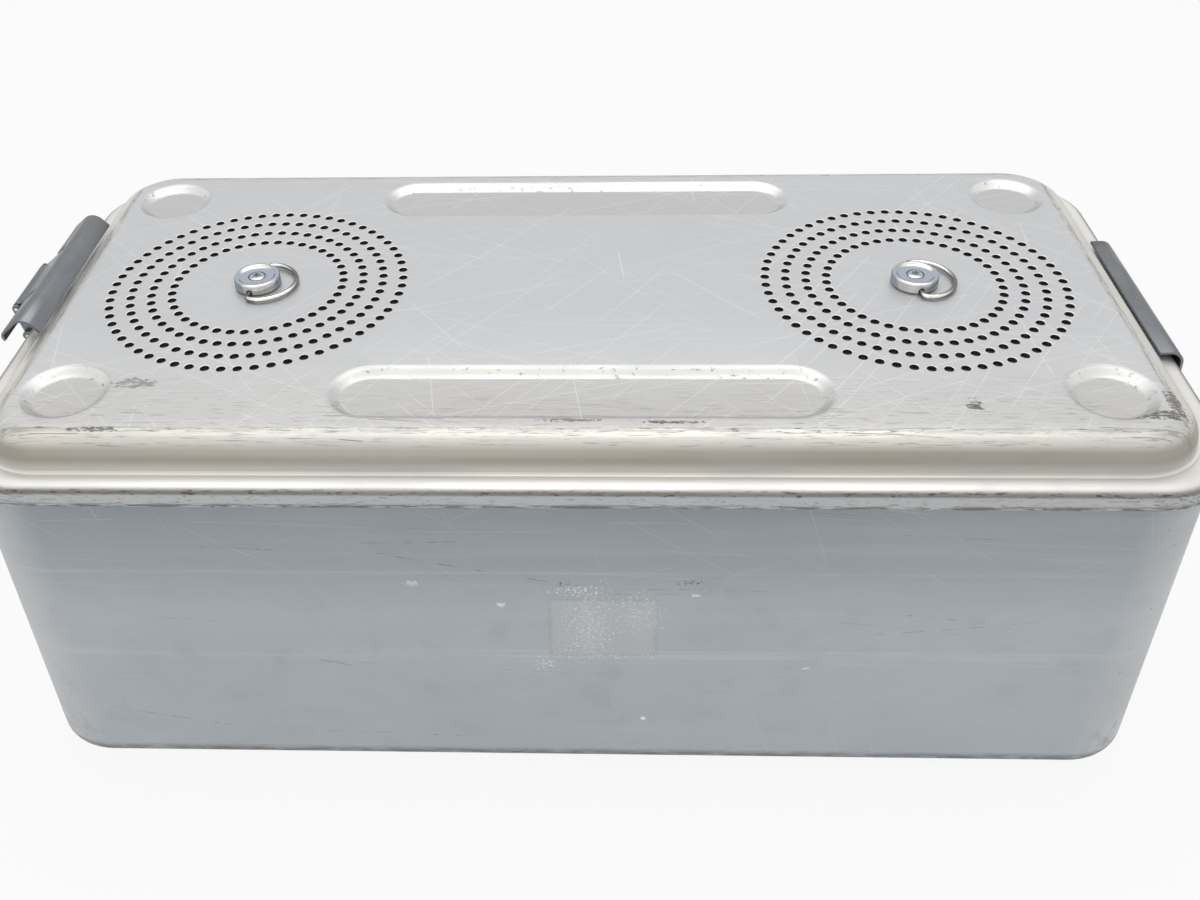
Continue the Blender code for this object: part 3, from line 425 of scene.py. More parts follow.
# Fine straight strokes that lie roughly in one direction: scratches, rubs and brushing
scratches, given, mask = mask_group("scratches", Turn=0.0, Length=8.0, Spacing=260.0, Width=0.02,
                                    Cover=0.5, Wander=0.0, Seed=0.0)
turned = add(scratches, "VectorRotate", {"Vector": given["Vector"], "Angle": given["Turn"]},
             rotation_type="Z_AXIS").outputs[0]
sway = vectors("SUBTRACT", noise(turned, 5.0, 0.0, output="Color"), (0.5, 0.5, 0.5))
sway = add(scratches, "VectorMath", {0: sway, "Scale": given["Wander"]}, operation="SCALE")
sides = split(vectors("ADD", turned, sway.outputs[0]))
across = times(sides[1], given["Spacing"])
strip = maths("FLOOR", across)
strip_place = vector_of(strip, given["Seed"], 0.5)
strip_chance = add(scratches, "TexWhiteNoise", {"Vector": strip_place}).outputs["Value"]
along = plus(times(sides[0], given["Length"]), times(strip_chance, 17.0))
stroke = maths("FLOOR", along)
reach = minus(along, stroke, 0.5)
stroke_place = vector_of(strip, stroke, given["Seed"])
chance = add(scratches, "TexWhiteNoise", {"Vector": stroke_place}).outputs
chances = split(chance["Color"])
middle = plus(times(chances[0], 0.4), 0.3)
lean = times(minus(chances[1], 0.5), 1.1)
middle = plus(middle, times(lean, reach))
line = maths("ABSOLUTE", minus(minus(across, strip), middle))
line = minus(1.0, maths("DIVIDE", line, given["Width"]), clamp=True)
half = plus(times(chances[2], 0.3), 0.18)
ends = times(minus(half, maths("ABSOLUTE", reach)), 14.0, clamp=True)
drawn = maths("LESS_THAN", chance["Value"], given["Cover"])
depth = plus(times(strip_chance, 0.65), 0.35)
scratches.links.new(times(line, ends, times(drawn, depth)), mask)

# Worn chips and dirt: ragged flecks, drawn out along one direction
chips, given, mask = mask_group("chips", Along=90.0, Across=420.0, Level=0.62, Soft=0.03)
sides = split(given["Vector"])
flecks = noise(vector_of(times(sides[0], given["Along"]), times(sides[1], given["Across"]),
                         times(sides[2], given["Across"])), 1.0, 5.0, 0.65)
fleck_mask = add(chips, "MapRange", {"Value": flecks, "From Min": given["Level"],
                                     "From Max": plus(given["Level"], given["Soft"])})
chips.links.new(fleck_mask.outputs[0], mask)

# One ragged spot or patch at a given place, such as a dent, a chip or a label's trace
patch, given, mask = mask_group("ragged_patch", ("Centre", "Reach"), Square=0.0, Ragged=1.0,
                                Grain=420.0)
scaled = vectors("DIVIDE", vectors("SUBTRACT", given["Vector"], given["Centre"]), given["Reach"])
boxed = most(*split(vectors("ABSOLUTE", scaled, (0, 0, 0))))
away = add(patch, "VectorMath", {0: scaled}, operation="LENGTH").outputs["Value"]
away = add(patch, "Mix", {0: given["Square"], 2: away, 3: boxed}).outputs[0]
frayed = times(minus(noise(given["Vector"], given["Grain"], 3.0, 0.6), 0.5), given["Ragged"])
patch.links.new(band(plus(away, frayed), 1.05, 0.95), mask)


def use(group, vector, **values):
    """Place a shared effect and give back its mask."""
    given = {name.capitalize(): value for name, value in values.items()}
    return add(own_tree(vector), "Group", {"Vector": vector, **given},
               node_tree=group).outputs["Mask"]


def strokes(vector, names, rows, **shared):
    """The strongest of several sets of scratches, with a row of values for each."""
    found = 0.0
    for row in rows:
        found = most(found, use(scratches, vector, **dict(zip(names, row)), **shared))
    return found


def principled(name, metallic=0.0, roughness=0.5):
    """A new material, and the place on the object that its patterns follow."""
    material = bpy.data.materials.new(name)
    material.use_nodes = True
    shader = material.node_tree.nodes["Principled BSDF"]
    shader.inputs["Metallic"].default_value = metallic
    shader.inputs["Roughness"].default_value = roughness
    return material, add(material.node_tree, "TexCoord").outputs["Object"]


def finish_with(material, colour, height, strength, distance, rough=None, metallic=None):
    """Link a material's colour, its fine relief and what else varies, and give it back."""
    tree = material.node_tree
    bump = add(tree, "Bump", {"Height": height, "Strength": strength, "Distance": distance})
    for socket, value in (("Base Color", colour), ("Normal", bump.outputs[0]), ("Roughness", rough),
                          ("Metallic", metallic)):
        if value is not None:
            tree.links.new(value, tree.nodes["Principled BSDF"].inputs[socket])
    return material


def face_normal(place):
    return split(add(place.id_data, "NewGeometry").outputs["Normal"])


def facing_away(place):
    """0 where a surface faces the viewer, 1 where it turns away."""
    return add(place.id_data, "LayerWeight", {"Blend": 0.5}).outputs["Facing"]


def lid_metal():
    """Bright satin aluminium, scratched all over, dirty at its edges, with painted highlights and
    painted shade on its roundings, hollows, wall, flange and skirt.
    """
    material, place = principled("worn_lid_aluminium")
    x, y, z = split(place)
    slope = face_normal(place)
    front = band(y, -0.02, -0.135)
    near = band(y, -0.07, -0.115)
    # Distances in mm: past the dome's flat top, below it, above the flange and above the hem
    past_x = minus(maths("ABSOLUTE", x), lid_half_length - flange_end - dome_edge - 1 * MM)
    past_y = minus(maths("ABSOLUTE", y), lid_half_width - flange_side - dome_edge - 1 * MM)
    past = times(most(past_x, past_y), 1 / MM)
    fall = times(minus(lid_top, z), 1 / MM)
    rise = times(minus(z, flange_top), 1 / MM)
    lift = times(minus(z, skirt_bottom), 1 / MM)

    colour = blend(times(front, 0.8), (0.575, 0.585, 0.60), (0.63, 0.62, 0.60))
    # Painted highlight: the dome's rounded edge is laid in a pale cream.
    colour = coat(colour, (0.70, 0.675, 0.625), band(past, 0.0, 3.0))
    in_top = times(band(past, -2.0, -4.0), band(fall, 4.2, 3.9))
    # Painted highlight along the hollows' upper rims, where they turn down from the top.
    painted_rim_highlight = times(band(slope[2], 0.93, 0.85), band(fall, 0.5, 0.4))
    colour = coat(colour, (0.93, 0.92, 0.90), painted_rim_highlight, in_top)
    in_top = times(in_top, band(fall, 0.35, 0.7))
    # Painted highlight on the hollows' slopes that face the front, painted shade on those that face
    # the back.
    colour = coat(colour, (0.90, 0.885, 0.84), band(slope[1], -0.04, -0.42), in_top, 0.8)
    colour = coat(colour, (0.36, 0.355, 0.34), band(slope[1], 0.05, 0.35), in_top, 0.6)
    # Painted shade: the dome's upright side wall is laid a darker warm grey, darkest just under the
    # rounding.
    wall = times(band(fall, 2.4, 6.4), band(rise, 1.0, 7.0, 0.05, 1.0), band(rise, -0.1, 0.1))
    colour = coat(colour, (0.365, 0.335, 0.285), wall)
    # Painted highlight: a pale band along the top of the flange.
    painted_flange_highlight = times(band(rise, 0.1, -0.1), band(rise, -1.2, -0.4))
    colour = coat(colour, (0.80, 0.79, 0.76), painted_flange_highlight)
    # Painted shade on the flange's rounded shoulder, which is also left a little rougher.
    painted_shoulder_shade = times(band(rise, -0.3, -1.6), band(rise, -3.6, -2.6))
    colour = coat(colour, (0.17, 0.165, 0.155), painted_shoulder_shade, 0.9)
    cloud = noise(place, 14.0, 4.0, 0.6)
    colour = coat(colour, (0.50, 0.505, 0.51), band(cloud, 0.35, 0.7), 0.3)

    on_top = band(fall, 5.0, 3.6)
    pale = strokes(place, ("turn", "length", "spacing", "cover", "seed"),
                   ((0.04, 5.0, 160.0, 0.5, 1.0), (0.42, 6.5, 120.0, 0.45, 7.0),
                    (-0.38, 6.0, 130.0, 0.45, 13.0), (0.85, 8.0, 110.0, 0.45, 23.0),
                    (-0.95, 7.0, 110.0, 0.45, 31.0), (1.5, 14.0, 90.0, 0.12, 37.0)), width=0.036,
                   wander=0.03)
    pale = times(pale, on_top, band(past, 4.0, 1.0))
    colour = coat(colour, (0.82, 0.82, 0.82), pale, 0.7)
    brushed = use(scratches, place, turn=0.0, length=22.0, spacing=620.0, width=0.2, cover=0.5,
                  wander=0.004, seed=3.0)
    colour = coat(colour, (0.36, 0.355, 0.35), brushed, times(front, on_top), 0.5)

    # Dirt runs along each edge: with X at the long sides, with Y at the ends
    run = add(place.id_data, "Mix", {0: maths("GREATER_THAN", past_x, past_y), 4: place,
                                     5: vector_of(y, x, z)}, data_type="VECTOR").outputs[1]
    edge = times(band(past, 0.2, 1.2), band(past, 5.0, 2.6))
    film = use(chips, run, along=45.0, across=700.0, level=0.40, soft=0.16)
    colour = coat(colour, (0.27, 0.25, 0.225), edge, film, 0.55)
    hem = band(lift, 3.4, 1.4)
    skirt = band(rise, -2.0, -3.0)
    foot = plus(band(lift, 4.5, 0.0), times(skirt, 0.25))
    brink = times(band(rise, -3.8, -2.6), band(rise, -0.6, -1.6))
    worn = most(times(edge, 0.7), foot, brink)
    at_corners = band(maths("ABSOLUTE", x), 0.2, 0.29)
    dark = times(use(scratches, place, turn=0.02, length=30.0, spacing=420.0, width=0.12,
                     cover=0.10, wander=0.01, seed=41.0), near, on_top)
    for vector, along, across, level, soft, *where in (
            (run, 150.0, 900.0, 0.575, 0.05, worn),  # rough edges
            (run, 70.0, 800.0, 0.42, 0.12, hem, 0.8),  # dirt in the hem
            (run, 170.0, 1100.0, 0.60, 0.04, band(rise, -0.6, -1.2), 0.6),  # dashes
            (place, 75.0, 1300.0, 0.565, 0.09, near, on_top, 0.5),  # streaks
            (place, 330.0, 420.0, 0.60, 0.05, band(slope[2], 0.995, 0.97), in_top, 0.55),  # pits
            (run, 160.0, 1000.0, 0.54, 0.05, skirt, at_corners, 0.8),  # bumped corners
            (place, 620.0, 620.0, 0.70, 0.04, 0.7)):  # specks
        flecks = use(chips, vector, along=along, across=across, level=level, soft=soft)
        dark = most(dark, times(flecks, *where), clamp=True)
    grit = use(chips, place, along=220.0, across=1100.0, level=0.40, soft=0.06)
    for spot_x, spot_y, size_x, size_y, strength in (
            (-0.2105, -0.0878, 0.009, 0.0035, 0.6), (0.1775, -0.1043, 0.004, 0.004, 0.95),
            (0.2580, -0.1110, 0.011, 0.0030, 0.95), (0.2660, -0.1010, 0.0028, 0.008, 0.8),
            (-0.2190, -0.1224, 0.010, 0.0012, 0.8), (0.0430, -0.1170, 0.013, 0.0010, 0.9),
            (-0.0040, -0.1157, 0.012, 0.0012, 0.7)):
        mark = use(patch, place, centre=(spot_x, spot_y, lid_top), reach=(size_x, size_y, 0.02),
                   ragged=3.0)
        dark = most(dark, times(mark, grit, strength))
    colour = coat(colour, (0.075, 0.068, 0.06), dark, 0.85)
    # Painted shade: the upright skirt is laid a darker blue grey than the top; its dirt marks turn
    # a dark brown.
    colour = coat(colour, blend(dark, (0.46, 0.48, 0.505), (0.12, 0.105, 0.09)), skirt, 0.8)

    rough = plus(band(cloud, 0.3, 0.75, 0.36, 0.48), times(most(pale, dark), 0.2),
                 times(painted_shoulder_shade, 0.25))
    height = plus(noise(place, 24.0), times(noise(place, 900.0), 0.03))
    return finish_with(material, colour, minus(height, times(pale, 0.03)), 0.5, 0.6 * MM, rough,
                       minus(0.6, times(dark, 0.5)))


def vent_wall():
    """The holes' walls: brown-black residue on bare metal, laid darker as painted shade inside the
    holes.
    """
    material, place = principled("vent_wall_residue_and_shade", 0.2, 0.7)
    stain = noise(place, 800.0, 3.0, 0.6)
    # Painted shade: the walls are laid near black, with brown residue in the lighter spots.
    colour = blend(band(stain, 0.45, 0.75), (0.022, 0.018, 0.014), (0.15, 0.13, 0.11))
    return finish_with(material, colour, stain, 0.3, 0.2 * MM)


def fit(piece, finish, node, body):
    """Give a piece its finish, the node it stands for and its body."""
    piece.data.materials.append(finish)
    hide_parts(node)
    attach(piece, body)


lid_shell = make_lid()
fit(lid_shell, lid_metal(), "lid", "lid")
lid_shell.data.materials.append(vent_wall())


# Gasket: a red-brown silicone frame in the lid's flange, which the tub's rim
# presses on. Only its inner edge is seen, with the lid lifted.
def silicone():
    material, place = principled("red_silicone")
    colour = blend(noise(place, 60.0, 4.0, 0.6), (0.36, 0.11, 0.07), (0.52, 0.20, 0.13))
    return finish_with(material, colour, noise(place, 700.0), 0.3, 0.2 * MM,
                       band(noise(place, 300.0), 0.3, 0.7, 0.5, 0.68))


seal_finish = silicone()


def dress(node, finish):
    """Give a carried-over piece its finish."""
    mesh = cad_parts[node].data
    mesh.materials.clear()
    mesh.materials.append(finish)


dress("lid_gasket", seal_finish)


# Filter fields: under each field of holes a cloth filter lies on a silicone
# seal in a pressed steel retainer plate, which has ten steam holes. The cloth
# is laid near black: painted shade that keeps the holes dark.
retainer_radius = 91.6 * MM
retainer_sheet = 1.2 * MM
fit_gap = 0.3 * MM
filter_top = lid_top - lid_sheet - fit_gap
filter_sheet = 0.8 * MM
seal_top = filter_top - filter_sheet - fit_gap
seal_height = 3.0 * MM
seal_width = 5.5 * MM
plate_top = seal_top - seal_height - fit_gap
cloth_radius = 90.1 * MM
steam_ring = 60.0 * MM
steam_hole = 9.0 * MM
bayonet_slot = (4.5 * MM, 11.0 * MM)


def turned_piece(name, profile, steps, closed=True, bevel=0.0):
    """A turned piece from (radius, height) points down its outer side."""
    bm = bmesh.new()
    points = [bm.verts.new((radius, 0, height)) for radius, height in profile]
    edges = [bm.edges.new(pair) for pair in zip(points, points[1:])]
    if closed:
        edges.append(bm.edges.new((points[-1], points[0])))
    bmesh.ops.spin(bm, geom=points + edges, cent=(0, 0, 0), axis=(0, 0, 1), angle=2 * pi,
                   steps=steps)
    bmesh.ops.remove_doubles(bm, verts=bm.verts, dist=1e-6)
    piece = solid(bm, name, 30)
    if bevel:
        soften(piece, bevel)
    return piece


def soften(piece, width, segments=2):
    """Break the sharp edges, as tumbling or filing does."""
    modifier = piece.modifiers.new("broken_edges", "BEVEL")
    modifier.width = width
    modifier.segments = segments
    modifier.limit_method = "ANGLE"
    modifier.angle_limit = radians(35)
    modifier.harden_normals = True


def filter_cloth():
    material, place = principled("filter_cloth_painted_dark", roughness=0.9)
    weave = {"Vector": place, "Scale": 900.0, "Distortion": 0.6}
    cloth = times(*(add(place.id_data, "TexWave", weave, bands_direction=way).outputs["Fac"]
                    for way in ("X", "Y")))
    # Painted shade: the cloth is laid near black so that the holes read dark; the weave is its own.
    colour = blend(cloth, (0.035, 0.031, 0.027), (0.13, 0.115, 0.098))
    return finish_with(material, colour, cloth, 0.5, 0.2 * MM)


def bright_steel(name, low, high, roughness):
    """Stainless steel with faint handling marks."""
    material, place = principled(name, metallic=1.0)
    stain = noise(place, 90.0, 4.0, 0.6)
    rub = use(scratches, place, turn=0.4, length=40.0, spacing=500.0, width=0.06, cover=0.3,
              wander=0.01, seed=5.0)
    fleck = use(chips, place, along=500.0, across=500.0, level=0.70, soft=0.05)
    colour = coat(blend(stain, low, high), (0.12, 0.11, 0.10), fleck, 0.5)
    rough = plus(band(stain, 0.3, 0.7, roughness, roughness + 0.12), times(rub, 0.2))
    return finish_with(material, colour, plus(times(rub, -0.3), times(stain, 0.5)), 0.25, 0.2 * MM,
                       rough)


cloth_finish = filter_cloth()
plate_finish = bright_steel("plate_steel_satin", (0.42, 0.42, 0.42), (0.56, 0.56, 0.55), 0.3)


def washer(name, inside, outside, top, height, bevel=0.0):
    """A flat ring, or a disc with a bore."""
    corners = ((inside, top), (outside, top), (outside, top - height), (inside, top - height))
    return turned_piece(name, corners, 72, bevel=bevel)


def retainer_plate(name):
    """The pressed plate: a floor with steam holes and a slot, and an upturned rim."""
    bm = bmesh.new()
    rim_inside = retainer_radius - retainer_sheet
    plate_bottom = plate_top - retainer_sheet
    heights = ((rim_inside, plate_top), (rim_inside, seal_top), (retainer_radius, seal_top),
               (retainer_radius, plate_bottom + 0.8 * MM),
               (retainer_radius - 0.8 * MM, plate_bottom))
    wall_rings = [slot_ring(bm, 0, 0, radius, z, 96) for radius, z in heights]
    skin_all(bm, wall_rings)
    upper, lower = [wall_rings[0]], [wall_rings[-1]]
    steam_angles = [2 * pi * index / 10 for index in range(10)]
    holes = [(steam_ring * cos(angle), steam_ring * sin(angle)) for angle in steam_angles]
    slot_x, slot_y = bayonet_slot
    corners = ((slot_x, -slot_y), (slot_x, slot_y), (-slot_x, slot_y), (-slot_x, -slot_y))

    def pierce(ring_at):
        top_ring, low_ring = ring_at(plate_top), ring_at(plate_bottom)
        skin(bm, low_ring, top_ring)
        upper.append(top_ring)
        lower.append(low_ring)

    def on_plate(x, y):
        in_hole = any(hypot(x - hole_x, y - hole_y) < steam_hole * 0.98 for hole_x, hole_y in holes)
        return not in_hole and not (abs(x) < slot_x and abs(y) < slot_y)

    for hole_x, hole_y in holes:
        pierce(lambda z: slot_ring(bm, hole_x, hole_y, steam_hole, z, 28))
    pierce(lambda z: ring_of(bm, [(x, y, z) for x, y in corners]))
    pierced_face(bm, upper, on_plate)
    pierced_face(bm, lower, on_plate, facing_up=False)
    return solid(bm, name, 30)


for side, sign in (("left", -1), ("right", 1)):
    cloth_disc = washer("filter_cloth_" + side, stud_hole, cloth_radius, filter_top, filter_sheet)
    seal_ring = washer("retainer_seal_" + side, cloth_radius - seal_width, cloth_radius, seal_top,
                       seal_height, 0.6 * MM)
    plate = retainer_plate("retainer_plate_" + side)
    for piece in (cloth_disc, seal_ring, plate):
        piece.location = (sign * vent_x, 0, 0)
    fit(cloth_disc, cloth_finish, "filter_" + side, "lid")
    fit(seal_ring, seal_finish, "filter_seal_" + side, "lid")
    fit(plate, plate_finish, "retainer_" + side, "lid")


# Turn knobs: turned and polished steel discs with a dished top, held by a star
# screw, with a washer below and a hollow stud and bayonet bar under the lid.
knob_radius = 11.9 * MM
knob_lift = 0.4 * MM
knob_top = knob_lift + 5.8 * MM
knob_rim = 2.0 * MM
knob_dish = 1.2 * MM
dish_floor = knob_top - knob_dish
ring_wire = 2.5 * MM
ring_height = 1.85 * MM
ring_turn = {"left": radians(-10), "right": radians(6)}


def settle(piece):
    """Apply a piece's modifiers."""
    graph = bpy.context.evaluated_depsgraph_get()
    mesh = bpy.data.meshes.new_from_object(piece.evaluated_get(graph))
    piece.modifiers.clear()
    piece.data = mesh
    smooth(mesh, 30)


def combine(piece, tool, operation):
    """Join a closed shape to a piece, or cut it out, and keep the result as its mesh."""
    modifier = piece.modifiers.new("shape", "BOOLEAN")
    modifier.operation = operation
    modifier.object = tool
    settle(piece)
    bpy.data.objects.remove(tool, do_unlink=True)


def mm(*points):
    """Points given in millimetres, in metres."""
    return [tuple(value * MM for value in point) for point in points]


def rod(bm, radius, start, end, steps):
    """A closed rod between two points, added to a shape."""
    start, end = Vector(start), Vector(end)
    way = end - start
    made = bmesh.ops.create_cone(bm, cap_ends=True, segments=steps, radius1=radius, radius2=radius,
                                 depth=way.length)
    turn = way.to_track_quat("Z", "Y").to_matrix().to_4x4()
    bmesh.ops.transform(bm, matrix=Matrix.Translation((start + end) / 2) @ turn,
                        verts=made["verts"])


def knob_metal():
    """Turned steel: fine rings on the top, a painted cream highlight on the sides, painted blue
    grey on the top and painted dark edges.
    """
    material, place = principled("knob_steel_turned", metallic=1.0)
    x, y, z = split(place)
    radius = maths("SQRT", plus(times(x, x), times(y, y)))
    grooves = noise(vector_of(times(radius, 2400.0), times(z, 1800.0), 0.0), 1.0, 3.0, 0.7)
    # Painted reflections by how far a face turns from the view: cream on the sides, blue grey on
    # the top, near black at the edges.
    facing = facing_away(place)
    colour = blend(band(facing, 0.22, 0.38), (0.80, 0.77, 0.71), (0.40, 0.44, 0.50))
    colour = coat(colour, (0.08, 0.085, 0.09), band(facing, 0.6, 0.9))
    colour = coat(colour, (0.24, 0.26, 0.29), band(grooves, 0.4, 0.7), 0.45)
    fleck = use(chips, place, along=500.0, across=500.0, level=0.72, soft=0.04)
    colour = coat(colour, (0.14, 0.13, 0.12), fleck, 0.6)
    return finish_with(material, colour, grooves, 0.3, 0.1 * MM, band(grooves, 0.3, 0.7, 0.2, 0.34))


knob_finish = knob_metal()


def turned_knob(name):
    """The disc with its rim and dish, and a notch each way for the ring."""
    rim_inside = knob_radius - knob_rim
    bore, seat = 2.3 * MM, 4.6 * MM
    profile = ((bore, 3.6 * MM), (seat, 3.6 * MM), (seat, dish_floor),
               (rim_inside - 1.5 * MM, dish_floor), (rim_inside - 0.7 * MM, dish_floor + 0.35 * MM),
               (rim_inside - 0.2 * MM, knob_top - 0.25 * MM), (rim_inside + 0.3 * MM, knob_top),
               (knob_radius - 1.1 * MM, knob_top), (knob_radius - 0.35 * MM, knob_top - 0.3 * MM),
               (knob_radius, knob_top - 1.0 * MM), (knob_radius, knob_lift + 0.3 * MM),
               (knob_radius - 0.3 * MM, knob_lift), (6.0 * MM, knob_lift), (6.0 * MM, 1.4 * MM),
               (bore, 1.4 * MM))
    knob = turned_piece(name, profile, 72)
    notch_half = ring_wire / 2 + 0.35 * MM
    arch = arc_points((0, ring_height), notch_half, 0, pi, 12)
    arch += [(-notch_half, -1 * MM), (notch_half, -1 * MM)]
    for way in (-1, 1):
        notch = bmesh.new()
        ends = [ring_of(notch, [(x, way * reach, z) for x, z in arch])
                for reach in (6.1 * MM, 14.0 * MM)]
        skin(notch, ends[0], ends[1])
        notch.faces.new(ends[0])
        notch.faces.new(ends[1][::-1])
        combine(knob, solid(notch, "notch"), "DIFFERENCE")
    return knob


def star_screw(name):
    """A domed screw with a six-lobed star pressed in its head."""
    profile = mm((0, 5.7), (2.6, 5.7), (3.6, 5.45), (4.1, 5.0), (4.2, 4.3), (1.9, 4.2),
                 (1.9, -10.4), (1.6, -10.7), (0, -10.7))
    screw = turned_piece(name, profile, 48, closed=False)
    lobes = []
    for index in range(48):
        angle = 2 * pi * index / 48
        reach = (1.85 + 0.45 * cos(6 * angle)) * MM
        lobes.append((reach * cos(angle), reach * sin(angle)))
    star = bmesh.new()
    low_ring, top_ring = (ring_of(star, [(x, y, z) for x, y in lobes])
                          for z in (4.6 * MM, 6.5 * MM))
    skin(star, low_ring, top_ring)
    star.faces.new(low_ring[::-1])
    star.faces.new(top_ring)
    combine(screw, solid(star, "star"), "DIFFERENCE")
    return screw


def arc_points(centre, radius, start, end, steps):
    angles = [start + (end - start) * step / steps for step in range(steps + 1)]
    return [(centre[0] + radius * cos(angle), centre[1] + radius * sin(angle)) for angle in angles]


for side, sign in (("left", -1), ("right", 1)):
    for piece, node in ((turned_knob("knob_disc_" + side), "lock_knob_"),
                        (star_screw("star_screw_" + side), "knob_screw_")):
        piece.location = (sign * vent_x, 0, lid_top)
        piece.rotation_euler = (0, 0, ring_turn[side])
        fit(piece, knob_finish, node + side, "knob_" + side)
    dress("knob_seal_" + side, seal_finish)
    dress("lock_stud_" + side, plate_finish)


# Bail rings: bright steel wire bent to a D, its two ends sprung into the
# notches of the knob so that it folds flat or stands up to be gripped.
ring_reach = 20.4 * MM
ring_half = 17.6 * MM
ring_leg = 6.4 * MM
ring_corner = 3.0 * MM


def wire_piece(name, points, radius, sides, smoothing):
    """A bent wire through points, with rounded bends and closed ends."""
    places = [Vector(point) for point in points]
    for _ in range(smoothing):
        softer = [places[0]]
        for first, second in zip(places, places[1:]):
            softer += [first.lerp(second, 0.25), first.lerp(second, 0.75)]
        places = softer + [places[-1]]
    curve = bpy.data.curves.new(name, "CURVE")
    curve.dimensions = "3D"
    curve.bevel_depth = radius
    curve.bevel_resolution = sides // 2 - 2
    curve.use_fill_caps = True
    spline = curve.splines.new("POLY")
    spline.points.add(len(places) - 1)
    for point, place in zip(spline.points, places):
        point.co = (*place, 1.0)
    holder = new_object(name, curve)
    graph = bpy.context.evaluated_depsgraph_get()
    mesh = bpy.data.meshes.new_from_object(holder.evaluated_get(graph))
    bpy.data.objects.remove(holder, do_unlink=True)
    bm = bmesh.new()
    bm.from_mesh(mesh)
    bmesh.ops.remove_doubles(bm, verts=bm.verts, dist=1e-6)
    return solid(bm, name, 50)


def ring_metal():
    """Polished wire, with a painted highlight along it, painted dark reflections at both sides and
    blue grey at the very edges.
    """
    material, place = principled("ring_steel_polished", metallic=1.0)
    facing = facing_away(place)
    rub = noise(place, 420.0, 4.0, 0.6)
    # Painted highlight and painted reflections, by how far the wire turns from the view.
    colour = blend(band(facing, 0.18, 0.5), (0.86, 0.84, 0.80), (0.15, 0.14, 0.13))
    colour = coat(colour, (0.36, 0.39, 0.43), band(facing, 0.62, 0.9))
    colour = coat(colour, (0.38, 0.37, 0.35), band(rub, 0.5, 0.75), 0.4)
    return finish_with(material, colour, rub, 0.12, 0.05 * MM, band(rub, 0.3, 0.7, 0.12, 0.24))


ring_finish = ring_metal()
ring_bow = [(ring_corner + (ring_reach - ring_corner) * cos(angle), ring_half * sin(angle), 0)
            for angle in (pi * (step / 20 - 0.5) for step in range(1, 20))]
ring_start = [(0, -ring_leg, 0), (0, -ring_half + ring_corner, 0),
              (ring_corner * 0.3, -ring_half + ring_corner * 0.3, 0)]
ring_end = [(x, -y, z) for x, y, z in ring_start[::-1]]
for side, sign in (("left", -1), ("right", 1)):
    ring = wire_piece("knob_ring_" + side, ring_start + ring_bow + ring_end, ring_wire / 2, 16, 1)
    ring.location = (sign * vent_x, 0, lid_top + ring_height)
    ring.rotation_euler = (0, 0, ring_turn[side])
    fit(ring, ring_finish, "bail_ring_" + side, "ring_" + side)


# End latches: grey steel sheet bent to a C, with two hooked lips and a leg that
# rolls into a knuckle. A pin and two links carry it round the lid's flange.
latch_y = 8.7 * MM
bar_length = 109.0 * MM
bar_sheet = 1.4 * MM
bar_radius = 6.2 * MM
leg_x = lid_half_length + 0.6 * MM + bar_sheet / 2
bend_centre = (leg_x - bar_radius, flange_top - 2.4 * MM)
lip_radius = 3.2 * MM
lip_centre = (leg_x - lip_radius, flange_top - 10.5 * MM)
pivot = (lid_half_length + 3.0 * MM, flange_top - 5.8 * MM)
link_length = 15.5 * MM
shut_angle = -pi / 2 - asin((pivot[0] - leg_x) / link_length)
shut_pin = (leg_x, pivot[1] + link_length * sin(shut_angle))
raised_swing = radians(175)
raised_tilt = radians(50)
swing_at_rest = {"left": raised_swing, "right": radians(9)}
leg_half = 19.7 * MM
pin_bore = 1.3 * MM
link_middle = 21.1 * MM
lug_middle = 23.25 * MM
end_turn = {"left": pi, "right": 0.0}


def latch_bar(name):
    """The bent sheet, as a mid surface with its thickness added after."""
    shared = [(bend_centre[0] - 5.5 * MM, bend_centre[1] + bar_radius)]
    shared += arc_points(bend_centre, bar_radius, pi / 2, 0, 14)
    lip = arc_points(lip_centre, lip_radius, 0, -pi / 2, 8)
    lip.append((lip_centre[0] - 0.2 * MM, lip_centre[1] - lip_radius))
    leg = [(leg_x, lip_centre[1]), shut_pin]
    slot_edge, bar_edge = 25.3 * MM, bar_length / 2
    stations = (-bar_edge, -slot_edge, -leg_half, leg_half, slot_edge, bar_edge)
    bm = bmesh.new()

    def column(profile, station):
        return [bm.verts.new((x - shut_pin[0], station, z - shut_pin[1])) for x, z in profile]

    def sheet(first, second):
        for index in range(len(first) - 1):
            bm.faces.new((first[index], second[index], second[index + 1], first[index + 1]))

    tops = [column(shared, station) for station in stations]
    for first, second in zip(tops, tops[1:]):
        sheet(first, second)
    for start, profile in ((0, lip), (2, leg), (4, lip)):
        sheet(*(tops[index][-1:] + column(profile, stations[index])
                for index in (start, start + 1)))
    bar = solid(bm, name)
    modifier = bar.modifiers.new("sheet", "SOLIDIFY")
    modifier.thickness = bar_sheet
    modifier.offset = 0
    modifier.use_even_offset = True
    soften(bar, 0.3 * MM, 3)
    settle(bar)
    knuckle = bmesh.new()
    rod(knuckle, 2.3 * MM, (0, -leg_half, 0), (0, leg_half, 0), 28)
    combine(bar, solid(knuckle, "knuckle"), "UNION")
    bore = bmesh.new()
    rod(bore, pin_bore, (0, -25 * MM, 0), (0, 25 * MM, 0), 20)
    combine(bar, solid(bore, "bore"), "DIFFERENCE")
    return bar


